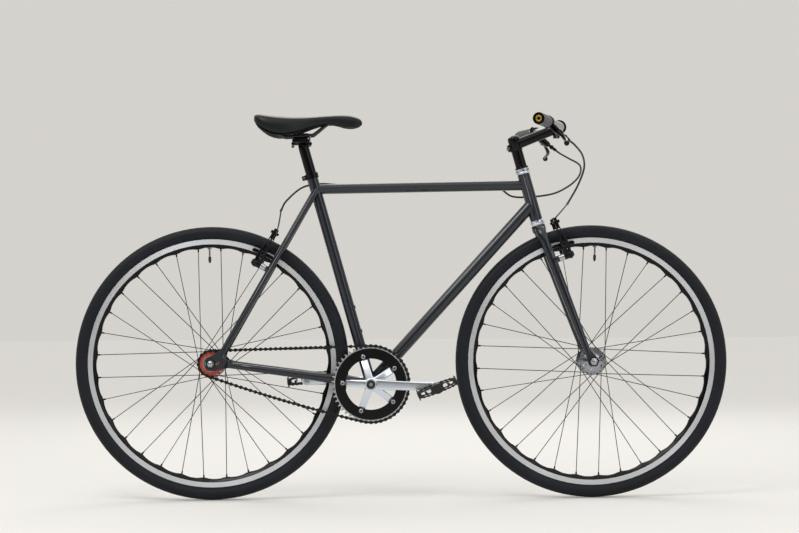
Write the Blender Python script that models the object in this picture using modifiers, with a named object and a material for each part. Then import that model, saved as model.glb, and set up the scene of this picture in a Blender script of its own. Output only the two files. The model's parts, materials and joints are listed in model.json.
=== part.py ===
"""A fixed gear bicycle with two rim brakes, in metres.

X points forward, -Y is the drive side and Z is up. The origin is on the ground, halfway
between the axles. Every piece is placed from the axles, the bottom bracket, the steering
axis and the seat axis, which follow from the sizes below.
"""

import math

import bmesh
import bpy
from mathutils import Matrix, Vector

# Gap between two pieces that touch on the real bicycle
GAP = 0.0003

# Wheels
WHEELBASE = 0.969
WHEEL_RADIUS = 0.348
TYRE_WIDTH = 0.035
TYRE_HEIGHT = 0.0318
WHEEL_FACETS = 40
TREAD_FLAT = 0.014
RIM_WIDTH = 0.022
RIM_HEIGHT = 0.0209
BRAKE_TRACK = 0.013
RIM_BED_WIDTH = 0.011
SPOKES = 32
SPOKE_DIAMETER = 0.0018
SPOKE_CROSSES = 3
VALVE_LENGTH = 0.034
VALVE_DIAMETER = 0.006
FRONT_VALVE_LEAN = math.radians(2.3)
REAR_VALVE_LEAN = math.radians(-1.2)

# Hubs and axles
FRONT_SPACING = 0.100
REAR_SPACING = 0.120
FRONT_AXLE_DIAMETER = 0.009
REAR_AXLE_DIAMETER = 0.0094
AXLE_OVERHANG = 0.015
LOCKNUT_DIAMETER = 0.016
LOCKNUT_LENGTH = 0.009
FLANGE_DIAMETER = 0.070
FLANGE_THICKNESS = 0.0044
FLANGE_SPREAD = 0.070
FLANGE_WINDOWS = 6
HUB_BARREL_DIAMETER = 0.024
HUB_COLLAR_DIAMETER = 0.026
FRONT_NUT_DIAMETER = 0.021
REAR_NUT_DIAMETER = 0.019
DROPOUT_THICKNESS = 0.005

# Chain drive
CHAIN_PITCH = 0.0127
ROLLER_DIAMETER = 0.00775
CHAIN_LINE = 0.044
RING_TEETH = 48
COG_TEETH = 16
SPROCKET_THICKNESS = 0.0028
CHAIN_INNER_WIDTH = 0.0034
CHAIN_PLATE_THICKNESS = 0.0012
CHAIN_PLATE_HEIGHT = 0.0086
CHAIN_WAIST_HEIGHT = 0.0056
TYRE_TO_SHELL = 0.0391
RING_INNER_RADIUS = 0.065
BOLT_CIRCLE_RADIUS = 0.072
RING_BOLT_DIAMETER = 0.011

# Cranks and pedals
CRANK_LENGTH = 0.165
CRANK_ANGLE = math.radians(-2.5)
CRANK_OUTER_FACE = 0.070
CRANK_BOSS_DIAMETER = 0.032
CRANK_EYE_DIAMETER = 0.0272
SPIDER_ARMS = 5
SPINDLE_DIAMETER = 0.017
SPINDLE_SQUARE = 0.0126
PEDAL_LENGTH = 0.104
PEDAL_WIDTH = 0.090
PEDAL_HEIGHT = 0.024
PEDAL_TILT = math.radians(21)
PEDAL_SPINDLE_DIAMETER = 0.0134

# Frame
BRACKET_DROP = 0.0543
SHELL_DIAMETER = 0.039
SHELL_BORE = 0.0346
SHELL_WIDTH = 0.068
SEAT_ANGLE = math.radians(74.4)
SEAT_TUBE_LENGTH = 0.5526
SEAT_TUBE_DIAMETER = 0.0286
SEATPOST_DIAMETER = 0.0272
SEATPOST_DEPTH = 0.150
HEAD_ANGLE = math.radians(74.5)
HEAD_TUBE_LENGTH = 0.122
HEAD_TUBE_DIAMETER = 0.032
HEAD_TUBE_BORE = 0.0292
TOP_TUBE_DIAMETER = 0.0254
TOP_TUBE_UP_SEAT_TUBE = 0.516
TOP_TUBE_BELOW_HEAD_TOP = 0.0293
DOWN_TUBE_DIAMETER = 0.0318
DOWN_TUBE_UP_HEAD_TUBE = 0.0428
SEATSTAY_DIAMETER = 0.016
SEATSTAY_UP_SEAT_TUBE = 0.513
SEATSTAY_TOP_SPREAD = 0.036
SEATSTAY_AHEAD_OF_AXLE = 0.0128
CHAINSTAY_DIAMETER = 0.022
CHAINSTAY_END_DIAMETER = 0.0155
CHAINSTAY_TO_TYRE = 0.0045
CHAINSTAY_TO_RING = 0.0046
CHAINSTAY_CRIMP_HEIGHT = 0.026
TRACK_END_TAB = 0.042
BRIDGE_DIAMETER = 0.012
BRIDGE_ABOVE_TYRE = 0.015
CLAMP_HEIGHT = 0.014
CLAMP_DIAMETER = 0.0345
BOTTLE_BOSS_SPACING = 0.064
BOTTLE_BOSS_HEIGHT = 0.136
BOTTLE_BOSS_DIAMETER = 0.009

# Fork and headset
FORK_RAKE = 0.0364
CROWN_TO_TYRE = 0.0372
STEERER_DIAMETER = 0.0254
HEADSET_DIAMETER = 0.0376
UPPER_CUP_HEIGHT = 0.0145
LOWER_CUP_HEIGHT = 0.0130
LOCKNUT_HEIGHT = 0.0042
SPACER_DIAMETER = 0.0287
SPACER_HEIGHT = 0.0417
CROWN_DROP = 0.0248
CROWN_DIAMETER = 0.026
CROWN_HEIGHT = 0.0186
BLADE_SPREAD_TOP = 0.067
BLADE_BEHIND_AXLE = 0.005

# Stem, handlebar and levers
STEM_BODY_DIAMETER = 0.031
STEM_BODY_HEIGHT = 0.040
STEM_EXTENSION = 0.120
STEM_RISE = 0.044
STEM_EXTENSION_DIAMETER = 0.026
BAR_DIAMETER = 0.0222
BAR_CLAMP_DIAMETER = 0.0254
BAR_WIDTH = 0.590
BAR_SWEEP = math.radians(17)
BAR_STRAIGHT = 0.080
GRIP_DIAMETER = 0.030
GRIP_LENGTH = 0.098
LEVER_FROM_END = 0.112
LEVER_PLANE_DROP = math.radians(42)
LEVER_REACH = 0.078

# Rim brakes
BRAKE_PIVOT_SPREAD = 0.080
BRAKE_ARM_LENGTH = 0.090
PAD_ABOVE_PIVOT = 0.030
PAD_LENGTH = 0.058
PAD_HEIGHT = 0.009
PAD_DEPTH = 0.010
PAD_CLEARANCE = 0.0025
BRAKE_BOLT_DIAMETER = 0.010
FRONT_BOSS_LENGTH = 0.0430
REAR_BOSS_LENGTH = 0.0370
CABLE_DIAMETER = 0.005
NOODLE_DIAMETER = 0.0036
WIRE_DIAMETER = 0.0016

# Saddle
SADDLE_LENGTH = 0.276
SADDLE_NOSE_AHEAD_OF_CLAMP = 0.156
SADDLE_TOP_ABOVE_CLAMP = 0.062
SADDLE_WIDTH = 0.144
SADDLE_NOSE_WIDTH = 0.044
RAIL_DIAMETER = 0.007
RAIL_SPREAD = 0.044
RAIL_CLAMP_UP_SEAT_TUBE = 0.649

# Colours, roughness and metallic values of the finishes
FINISHES = {
    "charcoal paint": ((0.020, 0.025, 0.033), 0.25, 0.0),
    "black paint": ((0.008, 0.008, 0.009), 0.35, 0.0),
    "polished alloy": ((0.62, 0.63, 0.66), 0.22, 1.0),
    "machined alloy": ((0.70, 0.70, 0.72), 0.35, 1.0),
    "chromed steel": ((0.75, 0.75, 0.77), 0.12, 1.0),
    "black anodised alloy": ((0.012, 0.012, 0.014), 0.40, 0.6),
    "red anodised steel": ((0.55, 0.07, 0.03), 0.35, 0.8),
    "black steel": ((0.015, 0.015, 0.016), 0.45, 0.7),
    "tyre rubber": ((0.016, 0.017, 0.020), 0.80, 0.0),
    "grey grip rubber": ((0.23, 0.23, 0.24), 0.85, 0.0),
    "black plastic": ((0.010, 0.010, 0.011), 0.55, 0.0),
    "saddle cover": ((0.014, 0.015, 0.020), 0.60, 0.0),
    "silver paint": ((0.42, 0.42, 0.43), 0.40, 0.5),
}

RIGHT = -1
LEFT = 1
ACROSS = Vector((0, 1, 0))
UP = Vector((0, 0, 1))

for old in list(bpy.data.objects):
    bpy.data.objects.remove(old, do_unlink=True)

parts = bpy.data.collections.new("fixed_gear_bike")
cutters = bpy.data.collections.new("cutters")
bpy.context.scene.collection.children.link(parts)
bpy.context.scene.collection.children.link(cutters)
joint_places = {}


# Main points, worked out from the sizes

def tilted(angle):
    """A unit vector in the side view, at this angle above the horizontal, leaning back."""
    return Vector((-math.cos(angle), 0, math.sin(angle)))


def pitch_radius(teeth):
    """The radius of the circle that the chain's pins lie on."""
    return CHAIN_PITCH / (2 * math.sin(math.pi / teeth))


def wrapped_half_angle(teeth, pins):
    """Half of the angle between the first and the last pin that sit on a sprocket."""
    return (pins - 1) * math.pi / teeth


RING_PINS = RING_TEETH // 2 + 3
COG_PINS = COG_TEETH // 2
RUN_LINKS = round((WHEEL_RADIUS + TYRE_TO_SHELL + SHELL_DIAMETER / 2) / CHAIN_PITCH)
RING_HALF_ANGLE = wrapped_half_angle(RING_TEETH, RING_PINS)
COG_HALF_ANGLE = wrapped_half_angle(COG_TEETH, COG_PINS)
RING_RADIUS = pitch_radius(RING_TEETH)
COG_RADIUS = pitch_radius(COG_TEETH)
RUN_RISE = RING_RADIUS * math.sin(RING_HALF_ANGLE) - COG_RADIUS * math.sin(COG_HALF_ANGLE)
RUN_LENGTH = RUN_LINKS * CHAIN_PITCH
CHAINSTAY_LENGTH = (
    math.sqrt(RUN_LENGTH**2 - RUN_RISE**2)
    - RING_RADIUS * math.cos(RING_HALF_ANGLE)
    - COG_RADIUS * math.cos(COG_HALF_ANGLE)
)

REAR_AXLE = Vector((-WHEELBASE / 2, 0, WHEEL_RADIUS))
FRONT_AXLE = Vector((WHEELBASE / 2, 0, WHEEL_RADIUS))
BRACKET = REAR_AXLE + Vector((math.sqrt(CHAINSTAY_LENGTH**2 - BRACKET_DROP**2), 0, -BRACKET_DROP))
SEAT_UP = tilted(SEAT_ANGLE)
SEAT_TOP = BRACKET + SEAT_UP * SEAT_TUBE_LENGTH
HEAD_UP = tilted(HEAD_ANGLE)
HEAD_AHEAD = Vector((math.sin(HEAD_ANGLE), 0, math.cos(HEAD_ANGLE)))
HEAD_LOW = FRONT_AXLE - HEAD_AHEAD * FORK_RAKE + HEAD_UP * (WHEEL_RADIUS + CROWN_TO_TYRE)
HEAD_HIGH = HEAD_LOW + HEAD_UP * HEAD_TUBE_LENGTH
RIM_RADIUS = WHEEL_RADIUS - TYRE_HEIGHT
RIM_INNER_RADIUS = RIM_RADIUS - RIM_HEIGHT
TRACK_RADIUS = RIM_RADIUS - BRAKE_TRACK / 2


def up_seat_tube(distance):
    """A point on the seat axis, this far above the bottom bracket."""
    return BRACKET + SEAT_UP * distance


def up_steering(distance):
    """A point on the steering axis, this far above the lower end of the head tube."""
    return HEAD_LOW + HEAD_UP * distance


# Helpers that make, place, cut and join

def frame_at(origin, along, sideways=None):
    """A matrix whose Z axis runs along a direction and whose X axis leans to another."""
    z = Vector(along).normalized()
    hint = Vector(sideways) if sideways else (UP if abs(z.z) < 0.9 else Vector((1, 0, 0)))
    x = (hint - z * hint.dot(z)).normalized()
    y = z.cross(x)
    turn = Matrix((x, y, z)).transposed().to_4x4()
    return Matrix.Translation(origin) @ turn


def place(name, data, matrix, collection=parts):
    """A new object with this data, at this matrix."""
    made = bpy.data.objects.new(name, data)
    made.matrix_world = matrix
    collection.objects.link(made)
    return made


def mesh_from(name, bm, matrix):
    """A new object that holds a bmesh, which is freed."""
    mesh = bpy.data.meshes.new(name)
    bm.to_mesh(mesh)
    bm.free()
    return place(name, mesh, matrix)


def cylinder(start, end, radius, sides=24, end_radius=None, sideways=None):
    """A cylinder or a cone between two points."""
    run = Vector(end) - Vector(start)
    bm = bmesh.new()
    bmesh.ops.create_cone(
        bm,
        cap_ends=True,
        segments=sides,
        radius1=radius,
        radius2=radius if end_radius is None else end_radius,
        depth=run.length,
    )
    middle = (Vector(start) + Vector(end)) / 2
    return mesh_from("cylinder", bm, frame_at(middle, run, sideways))


def box(centre, size, along=UP, sideways=None):
    """A box whose Z side runs along a direction."""
    bm = bmesh.new()
    bmesh.ops.create_cube(bm, size=1)
    bmesh.ops.scale(bm, vec=size, verts=bm.verts)
    return mesh_from("box", bm, frame_at(centre, along, sideways))


def turned(profile, origin, along, steps=24, sideways=None):
    """A solid of revolution. The profile holds (radius, height) pairs, outer side downwards."""
    mesh = bpy.data.meshes.new("turned")
    points = [(radius, 0, height) for radius, height in profile]
    edges = [(i, i + 1) for i in range(len(points) - 1)]
    if profile[0][0] > 0 and profile[-1][0] > 0:
        edges.append((len(points) - 1, 0))
    mesh.from_pydata(points, edges, [])
    made = place("turned", mesh, frame_at(origin, along, sideways))
    screw = made.modifiers.new("Turn", "SCREW")
    screw.axis = "Z"
    screw.angle = 2 * math.pi
    screw.steps = steps
    screw.render_steps = steps
    screw.use_merge_vertices = True
    screw.merge_threshold = 0.00001
    return made


def clear_of(radius, sides):
    """The corner radius of a bore with this many sides, whose flats clear a round piece."""
    return (radius + GAP) / math.cos(math.pi / sides)


def ring(outer, inner, low, high):
    """The profile of a plain ring."""
    return [(outer, high), (outer, low), (inner, low), (inner, high)]


def rod(points, radius, sides=16, radii=None, matrix=None):
    """A round bar along points. The radii, where given, scale it at each point."""
    curve = bpy.data.curves.new("rod", "CURVE")
    curve.dimensions = "3D"
    curve.bevel_depth = radius
    curve.bevel_resolution = (sides - 4) // 2
    curve.use_fill_caps = True
    spline = curve.splines.new("POLY")
    spline.points.add(len(points) - 1)
    for index, point in enumerate(points):
        spline.points[index].co = (*point, 1)
        if radii:
            spline.points[index].radius = radii[index] / radius
    return place("rod", curve, matrix or Matrix.Identity(4))


def solid(curve_object):
    """Turns a curve object into a mesh object with welded caps, so that it can be cut."""
    graph = bpy.context.evaluated_depsgraph_get()
    mesh = bpy.data.meshes.new_from_object(curve_object.evaluated_get(graph))
    bm = bmesh.new()
    bm.from_mesh(mesh)
    bmesh.ops.remove_doubles(bm, verts=bm.verts, dist=0.000001)
    bm.to_mesh(mesh)
    bm.free()
    made = place(curve_object.name, mesh, curve_object.matrix_world.copy())
    bpy.data.objects.remove(curve_object, do_unlink=True)
    return made


def plate(outlines, thickness, matrix):
    """A flat plate from closed outlines. An outline inside another one is a hole."""
    curve = bpy.data.curves.new("plate", "CURVE")
    curve.dimensions = "2D"
    curve.fill_mode = "BOTH"
    curve.extrude = thickness / 2
    for outline in outlines:
        spline = curve.splines.new("POLY")
        spline.points.add(len(outline) - 1)
        spline.use_cyclic_u = True
        for index, (x, y) in enumerate(outline):
            spline.points[index].co = (x, y, 0, 1)
    return place("plate", curve, matrix)


def loft(rings):
    """A closed body through rings of points that all have the same count."""
    bm = bmesh.new()
    rows = [[bm.verts.new(point) for point in points] for points in rings]
    count = len(rows[0])
    for row, next_row in zip(rows, rows[1:]):
        for index in range(count):
            following = (index + 1) % count
            bm.faces.new((row[index], row[following], next_row[following], next_row[index]))
    bm.faces.new(reversed(rows[0]))
    bm.faces.new(rows[-1])
    bmesh.ops.recalc_face_normals(bm, faces=bm.faces)
    return mesh_from("loft", bm, Matrix.Identity(4))


def oval(centre, first, second, half_first, half_second, sides=16, fullness=1.0):
    """Points round an oval. A fullness under 1 squares its corners."""
    points = []
    for index in range(sides):
        angle = 2 * math.pi * (index + 0.5) / sides
        across = math.copysign(abs(math.cos(angle)) ** fullness, math.cos(angle))
        upward = math.copysign(abs(math.sin(angle)) ** fullness, math.sin(angle))
        points.append(centre + first * half_first * across + second * half_second * upward)
    return points


def arc(centre_x, centre_y, radius, start, end, steps):
    """Points along a flat arc, its angles in degrees."""
    angles = [math.radians(start + (end - start) * i / steps) for i in range(steps + 1)]
    return [(centre_x + radius * math.cos(a), centre_y + radius * math.sin(a)) for a in angles]


def smooth_path(points, steps):
    """A smooth curve through points, with this many steps between each two."""
    ends = [points[0] * 2 - points[1]] + list(points) + [points[-1] * 2 - points[-2]]
    path = []
    for before, start, end, after in zip(ends, ends[1:], ends[2:], ends[3:]):
        for step in range(steps):
            t = step / steps
            path.append(
                0.5
                * (
                    2 * start
                    + (end - before) * t
                    + (2 * before - 5 * start + 4 * end - after) * t**2
                    + (3 * start - before - 3 * end + after) * t**3
                )
            )
    path.append(points[-1].copy())
    return path


def boolean(piece, tool, operation):
    """Applies one more piece to another, and keeps it as a hidden helper."""
    if tool.type != "MESH":
        tool = solid(tool)
    for collection in list(tool.users_collection):
        collection.objects.unlink(tool)
    cutters.objects.link(tool)
    tool.hide_render = True
    tool.display_type = "WIRE"
    modifier = piece.modifiers.new(operation.title(), "BOOLEAN")
    modifier.operation = operation
    modifier.solver = "EXACT"
    modifier.object = tool
    return modifier


def cut(piece, *tools):
    """Cuts each tool out of the piece."""
    for tool in tools:
        boolean(piece, tool, "DIFFERENCE")
    return piece


def join(piece, *tools):
    """Fuses each tool with the piece."""
    for tool in tools:
        boolean(piece, tool, "UNION")
    return piece


def joint(name, origin, axis, parent=None):
    """An empty on a joint's axis, which the moving pieces hang from."""
    empty = bpy.data.objects.new(name, None)
    empty.empty_display_size = 0.03
    parts.objects.link(empty)
    matrix = frame_at(origin, axis)
    joint_places[name] = matrix
    hang(empty, parent)
    empty.matrix_world = matrix
    return empty


def hang(piece, parent):
    """Parents a piece to a joint's empty without moving it."""
    if parent is None:
        return
    piece.parent = parent
    piece.matrix_parent_inverse = joint_places[parent.name].inverted()


def finished(piece, name, finish, parent=None):
    """Gives a piece its name, its own material, smooth round sides and its joint."""
    piece.name = name
    piece.data.name = name
    colour, roughness, metallic = FINISHES[finish]
    material = bpy.data.materials.new(name + " " + finish)
    material.use_nodes = True
    shader = material.node_tree.nodes["Principled BSDF"]
    shader.inputs["Base Color"].default_value = (*colour, 1)
    shader.inputs["Roughness"].default_value = roughness
    shader.inputs["Metallic"].default_value = metallic
    piece.data.materials.append(material)
    if piece.type == "MESH" and piece.data.polygons:
        piece.data.shade_smooth()
        piece.data.set_sharp_from_angle(angle=math.radians(35))
    hang(piece, parent)
    return piece


def tube_cutter(start, end, diameter, clearance=0.0005, sides=20):
    """A cylinder that clears a tube, longer than the tube at both ends."""
    run = (end - start).normalized() * 0.03
    return cylinder(start - run, end + run, diameter / 2 + clearance, sides)


# Joints

steering = joint("steering", HEAD_LOW, HEAD_UP)
front_wheel = joint("front_wheel", FRONT_AXLE, ACROSS, steering)
rear_wheel = joint("rear_wheel", REAR_AXLE, ACROSS)
crankset = joint("crankset", BRACKET, ACROSS)
seat_height = joint("seat_height", SEAT_TOP, SEAT_UP)


# Frame tubes

DOWN_TUBE_END = up_steering(DOWN_TUBE_UP_HEAD_TUBE)
TOP_TUBE_START = up_seat_tube(TOP_TUBE_UP_SEAT_TUBE)
TOP_TUBE_END = HEAD_HIGH - HEAD_UP * TOP_TUBE_BELOW_HEAD_TOP
SHELL_HALF = SHELL_WIDTH / 2


def head_cutter():
    """Clears the head tube."""
    return tube_cutter(HEAD_LOW, HEAD_HIGH, HEAD_TUBE_DIAMETER)


def seat_cutter():
    """Clears the seat tube."""
    return tube_cutter(BRACKET, SEAT_TOP, SEAT_TUBE_DIAMETER)


def shell_cutter():
    """Clears the bottom bracket shell."""
    half = ACROSS * (SHELL_HALF + 0.02)
    return cylinder(BRACKET - half, BRACKET + half, SHELL_DIAMETER / 2 + 0.0005, 24)


def bracket_shell():
    profile = ring(SHELL_DIAMETER / 2, SHELL_BORE / 2, -SHELL_HALF, SHELL_HALF)
    shell = turned(profile, BRACKET, ACROSS, 20)
    finished(shell, "bottom_bracket_shell", "charcoal paint")


def head_tube():
    profile = ring(HEAD_TUBE_DIAMETER / 2, HEAD_TUBE_BORE / 2, 0, HEAD_TUBE_LENGTH)
    tube = turned(profile, HEAD_LOW, HEAD_UP, 20)
    finished(tube, "head_tube", "charcoal paint")


def top_tube():
    tube = solid(rod([TOP_TUBE_START, TOP_TUBE_END], TOP_TUBE_DIAMETER / 2, 16))
    cut(tube, seat_cutter(), head_cutter())
    finished(tube, "top_tube", "charcoal paint")


def down_tube():
    tube = solid(rod([BRACKET, DOWN_TUBE_END], DOWN_TUBE_DIAMETER / 2, 18))
    cut(tube, shell_cutter(), seat_cutter(), head_cutter())
    finished(tube, "down_tube", "charcoal paint")


def bottle_boss(height):
    """A threaded boss on the front of the seat tube."""
    start = up_seat_tube(height)
    ahead = Vector((SEAT_UP.z, 0, -SEAT_UP.x))
    half = BOTTLE_BOSS_DIAMETER / 2
    return cylinder(start, start + ahead * (SEAT_TUBE_DIAMETER / 2 + 0.0018), half, 8)


def seat_tube():
    tube = solid(rod([BRACKET, SEAT_TOP], SEAT_TUBE_DIAMETER / 2, 18))
    bore_start = SEAT_TOP - SEAT_UP * (SEATPOST_DEPTH + 0.075)
    bore_radius = clear_of(SEATPOST_DIAMETER / 2, 18)
    bosses = [bottle_boss(BOTTLE_BOSS_HEIGHT + BOTTLE_BOSS_SPACING * i) for i in range(2)]
    join(tube, *bosses)
    cut(tube, shell_cutter(), cylinder(bore_start, SEAT_TOP + SEAT_UP * 0.01, bore_radius, 18))
    finished(tube, "seat_tube", "charcoal paint")


# Rear triangle

STAY_FOOT_AHEAD = SEATSTAY_AHEAD_OF_AXLE
REAR_INNER = REAR_SPACING / 2
TRACK_END_MIDDLE = REAR_INNER + DROPOUT_THICKNESS / 2


def stay_top(side):
    """Where a seatstay's axis reaches the seat tube's side."""
    return up_seat_tube(SEATSTAY_UP_SEAT_TUBE) + ACROSS * side * SEATSTAY_TOP_SPREAD / 2


def stay_foot(side):
    """Where a seatstay's axis passes the rear axle."""
    foot = REAR_AXLE + Vector((SEATSTAY_AHEAD_OF_AXLE, side * TRACK_END_MIDDLE, 0))
    return foot


STAY_SIDE_RUN = up_seat_tube(SEATSTAY_UP_SEAT_TUBE) - REAR_AXLE - Vector((SEATSTAY_AHEAD_OF_AXLE, 0, 0))
STAY_UP = STAY_SIDE_RUN.normalized()
STAY_BACK = Vector((-STAY_UP.z, 0, STAY_UP.x))


def up_stay(side, distance):
    """A point on a seatstay's axis, this far above the axle in the side view."""
    share = distance / STAY_SIDE_RUN.length
    return stay_foot(side).lerp(stay_top(side), share)


def brake_boss(centre, outward, length, finish_radius):
    """The post that a brake arm turns on, with its shoulder and bolt head."""
    half_hub = BRAKE_HUB_LENGTH / 2
    shoulder = length - half_hub - GAP
    head = length + half_hub + GAP
    pin = BRAKE_BOLT_DIAMETER / 2
    profile = [
        (0, head + 0.004),
        (0.0066, head + 0.003),
        (0.0072, head),
        (pin, head),
        (pin, shoulder),
        (finish_radius, shoulder),
        (finish_radius, 0.004),
        (0, 0.004),
    ]
    return turned(profile, centre, outward, 8)


BRAKE_HUB_LENGTH = 0.022
REAR_PIVOT_HEIGHT = math.sqrt(
    TRACK_RADIUS**2 - REAR_BOSS_LENGTH ** 2
) - PAD_ABOVE_PIVOT + SEATSTAY_AHEAD_OF_AXLE * -STAY_UP.x
SEATSTAY_END = TRACK_END_TAB + GAP


def boss_centre_on(point, side):
    """The same place, moved sideways to where the brake pivots stand."""
    return Vector((point.x, side * BRAKE_PIVOT_SPREAD / 2, point.z))


def seatstay(side, name):
    ends = [up_stay(side, SEATSTAY_END), stay_top(side) + STAY_UP * 0.004]
    tube = solid(rod(ends, SEATSTAY_DIAMETER / 2, 12))
    boss_root = boss_centre_on(up_stay(side, REAR_PIVOT_HEIGHT), side)
    join(tube, brake_boss(boss_root, STAY_BACK, REAR_BOSS_LENGTH, 0.0078))
    cut(tube, seat_cutter())
    finished(tube, name, "charcoal paint")


def seatstay_bridge():
    height = WHEEL_RADIUS + BRIDGE_ABOVE_TYRE
    right = up_stay(RIGHT, height)
    left = up_stay(LEFT, height)
    bridge = solid(rod([right, left], BRIDGE_DIAMETER / 2, 10))
    for side in (RIGHT, LEFT):
        cut(bridge, tube_cutter(stay_foot(side), stay_top(side), SEATSTAY_DIAMETER))
    finished(bridge, "seatstay_bridge", "charcoal paint")


def track_end_outline():
    """The plate round the rear axle, open to the rear, in the side view."""
    slot = REAR_AXLE_DIAMETER / 2 + GAP
    half_tab = SEATSTAY_DIAMETER * 0.42
    tab = Vector((SEATSTAY_AHEAD_OF_AXLE, 0, 0)) + STAY_UP * TRACK_END_TAB
    tab_back = tab + STAY_BACK * half_tab
    tab_front = tab - STAY_BACK * half_tab
    rear_tip = -0.014
    slot_end = 0.020
    outline = [
        (rear_tip, slot),
        (rear_tip + 0.001, 0.012),
        (-0.004, 0.017),
        (0.009, 0.024),
        (tab_back.x, tab_back.z),
        (tab_front.x, tab_front.z),
        (0.031, 0.018),
        (0.040, 0.008),
        (0.055, 0.003),
        (0.055, -0.009),
        (0.030, -0.013),
        (0.008, -0.0185),
        (-0.008, -0.0165),
        (rear_tip, -0.011),
        (rear_tip, -slot),
    ]
    outline += arc(slot_end, 0, slot, -90, 90, 5)
    return outline


def chainstay(side, name):
    """A stay that is crimped beside the tyre and the chainring, with its track end."""
    end = REAR_AXLE + Vector((0.043, side * TRACK_END_MIDDLE, -0.003))
    start = BRACKET + Vector((0, side * 0.022, 0))
    run = end - start
    forward = Vector((run.x, 0, run.z)).normalized()
    upright = Vector((-forward.z, 0, forward.x)) * -1
    crimp_inner = TYRE_WIDTH / 2 + CHAINSTAY_TO_TYRE
    crimp_outer = CHAIN_LINE - SPROCKET_THICKNESS / 2 - CHAINSTAY_TO_RING
    crimp_y = (crimp_inner + crimp_outer) / 2
    crimp_half = (crimp_outer - crimp_inner) / 2
    crimp_start = (WHEEL_RADIUS - TYRE_HEIGHT * 0.9, WHEEL_RADIUS + 0.002)
    length = Vector((run.x, 0, run.z)).length
    round_half = CHAINSTAY_DIAMETER / 2
    end_half = CHAINSTAY_END_DIAMETER / 2
    crimp_from = CHAINSTAY_LENGTH - crimp_start[1]
    crimp_to = CHAINSTAY_LENGTH - crimp_start[0]
    stations = [
        (0.0, 0.022, round_half, round_half),
        (crimp_from * 0.55, 0.0245, round_half * 0.95, round_half * 1.03),
        (crimp_from, crimp_y, crimp_half, CHAINSTAY_CRIMP_HEIGHT / 2),
        (crimp_to, crimp_y + 0.002, crimp_half, CHAINSTAY_CRIMP_HEIGHT / 2),
        (crimp_to + 0.050, crimp_y + 0.0095, 0.0098, 0.0108),
        (length * 0.80, TRACK_END_MIDDLE - 0.0085, 0.0088, 0.0090),
        (length, TRACK_END_MIDDLE, end_half, end_half),
    ]
    rings = []
    for distance, y, half_wide, half_tall in stations:
        centre = Vector((start.x, side * y, start.z)) + forward * distance
        rings.append(oval(centre, ACROSS, upright, half_wide, half_tall, 12))
    stay = loft(rings)
    matrix = frame_at(REAR_AXLE + ACROSS * side * TRACK_END_MIDDLE, -ACROSS, (1, 0, 0))
    join(stay, plate([track_end_outline()], DROPOUT_THICKNESS, matrix))
    cut(stay, shell_cutter(), seat_cutter())
    finished(stay, name, "charcoal paint")


def seat_clamp():
    low = SEAT_TUBE_LENGTH - CLAMP_HEIGHT * 0.6
    inner = clear_of(SEAT_TUBE_DIAMETER / 2, 16)
    collar = turned(ring(CLAMP_DIAMETER / 2, inner, 0, CLAMP_HEIGHT), up_seat_tube(low), SEAT_UP, 16)
    back = Vector((-SEAT_UP.z, 0, SEAT_UP.x))
    middle = up_seat_tube(low + CLAMP_HEIGHT / 2)
    lug = box(middle + back * 0.0195, (0.012, 0.016, CLAMP_HEIGHT * 0.86), SEAT_UP, back)
    slot = box(middle + back * 0.022, (0.020, 0.0024, CLAMP_HEIGHT * 2), SEAT_UP, back)
    bolt_at = middle + back * 0.0205
    bolt = cylinder(bolt_at - ACROSS * 0.0105, bolt_at + ACROSS * 0.0105, 0.0031, 8)
    bore = cylinder(up_seat_tube(low - 0.01), up_seat_tube(low + 0.03), inner, 16)
    join(collar, lug)
    cut(collar, slot, bore)
    join(collar, bolt)
    finished(collar, "seat_clamp", "black anodised alloy")


# Headset, fork and stem

def headset():
    bore = clear_of(STEERER_DIAMETER / 2, 16)
    outer = HEADSET_DIAMETER / 2
    top = HEAD_TUBE_LENGTH + GAP
    upper = [
        (bore, top + UPPER_CUP_HEIGHT),
        (outer - 0.0020, top + UPPER_CUP_HEIGHT),
        (outer, top + UPPER_CUP_HEIGHT * 0.6),
        (outer - 0.0020, top),
        (bore, top),
    ]
    finished(turned(upper, HEAD_LOW, HEAD_UP, 16), "headset_upper_cup", "polished alloy")
    low = -GAP - LOWER_CUP_HEIGHT
    lower = [
        (bore, -GAP),
        (outer - 0.0020, -GAP),
        (outer, low + LOWER_CUP_HEIGHT * 0.35),
        (outer - 0.0020, low),
        (bore, low),
    ]
    finished(turned(lower, HEAD_LOW, HEAD_UP, 16), "headset_lower_cup", "polished alloy")


CROWN = up_steering(-CROWN_DROP)
BLADE_FOOT = FRONT_AXLE - Vector((BLADE_BEHIND_AXLE, 0, 0))
BLADE_RUN = BLADE_FOOT - CROWN
BLADE_DOWN = BLADE_RUN.normalized()
BLADE_AHEAD = Vector((-BLADE_DOWN.z, 0, BLADE_DOWN.x))
FORK_INNER = FRONT_SPACING / 2
FORK_END_MIDDLE = FORK_INNER + DROPOUT_THICKNESS / 2
CROWN_HALF_WIDTH = 0.0150
LOCKNUT_BASE = HEAD_TUBE_LENGTH + GAP + UPPER_CUP_HEIGHT + GAP
SPACER_BASE = LOCKNUT_BASE + LOCKNUT_HEIGHT
STEM_BASE = SPACER_BASE + SPACER_HEIGHT + GAP


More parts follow.
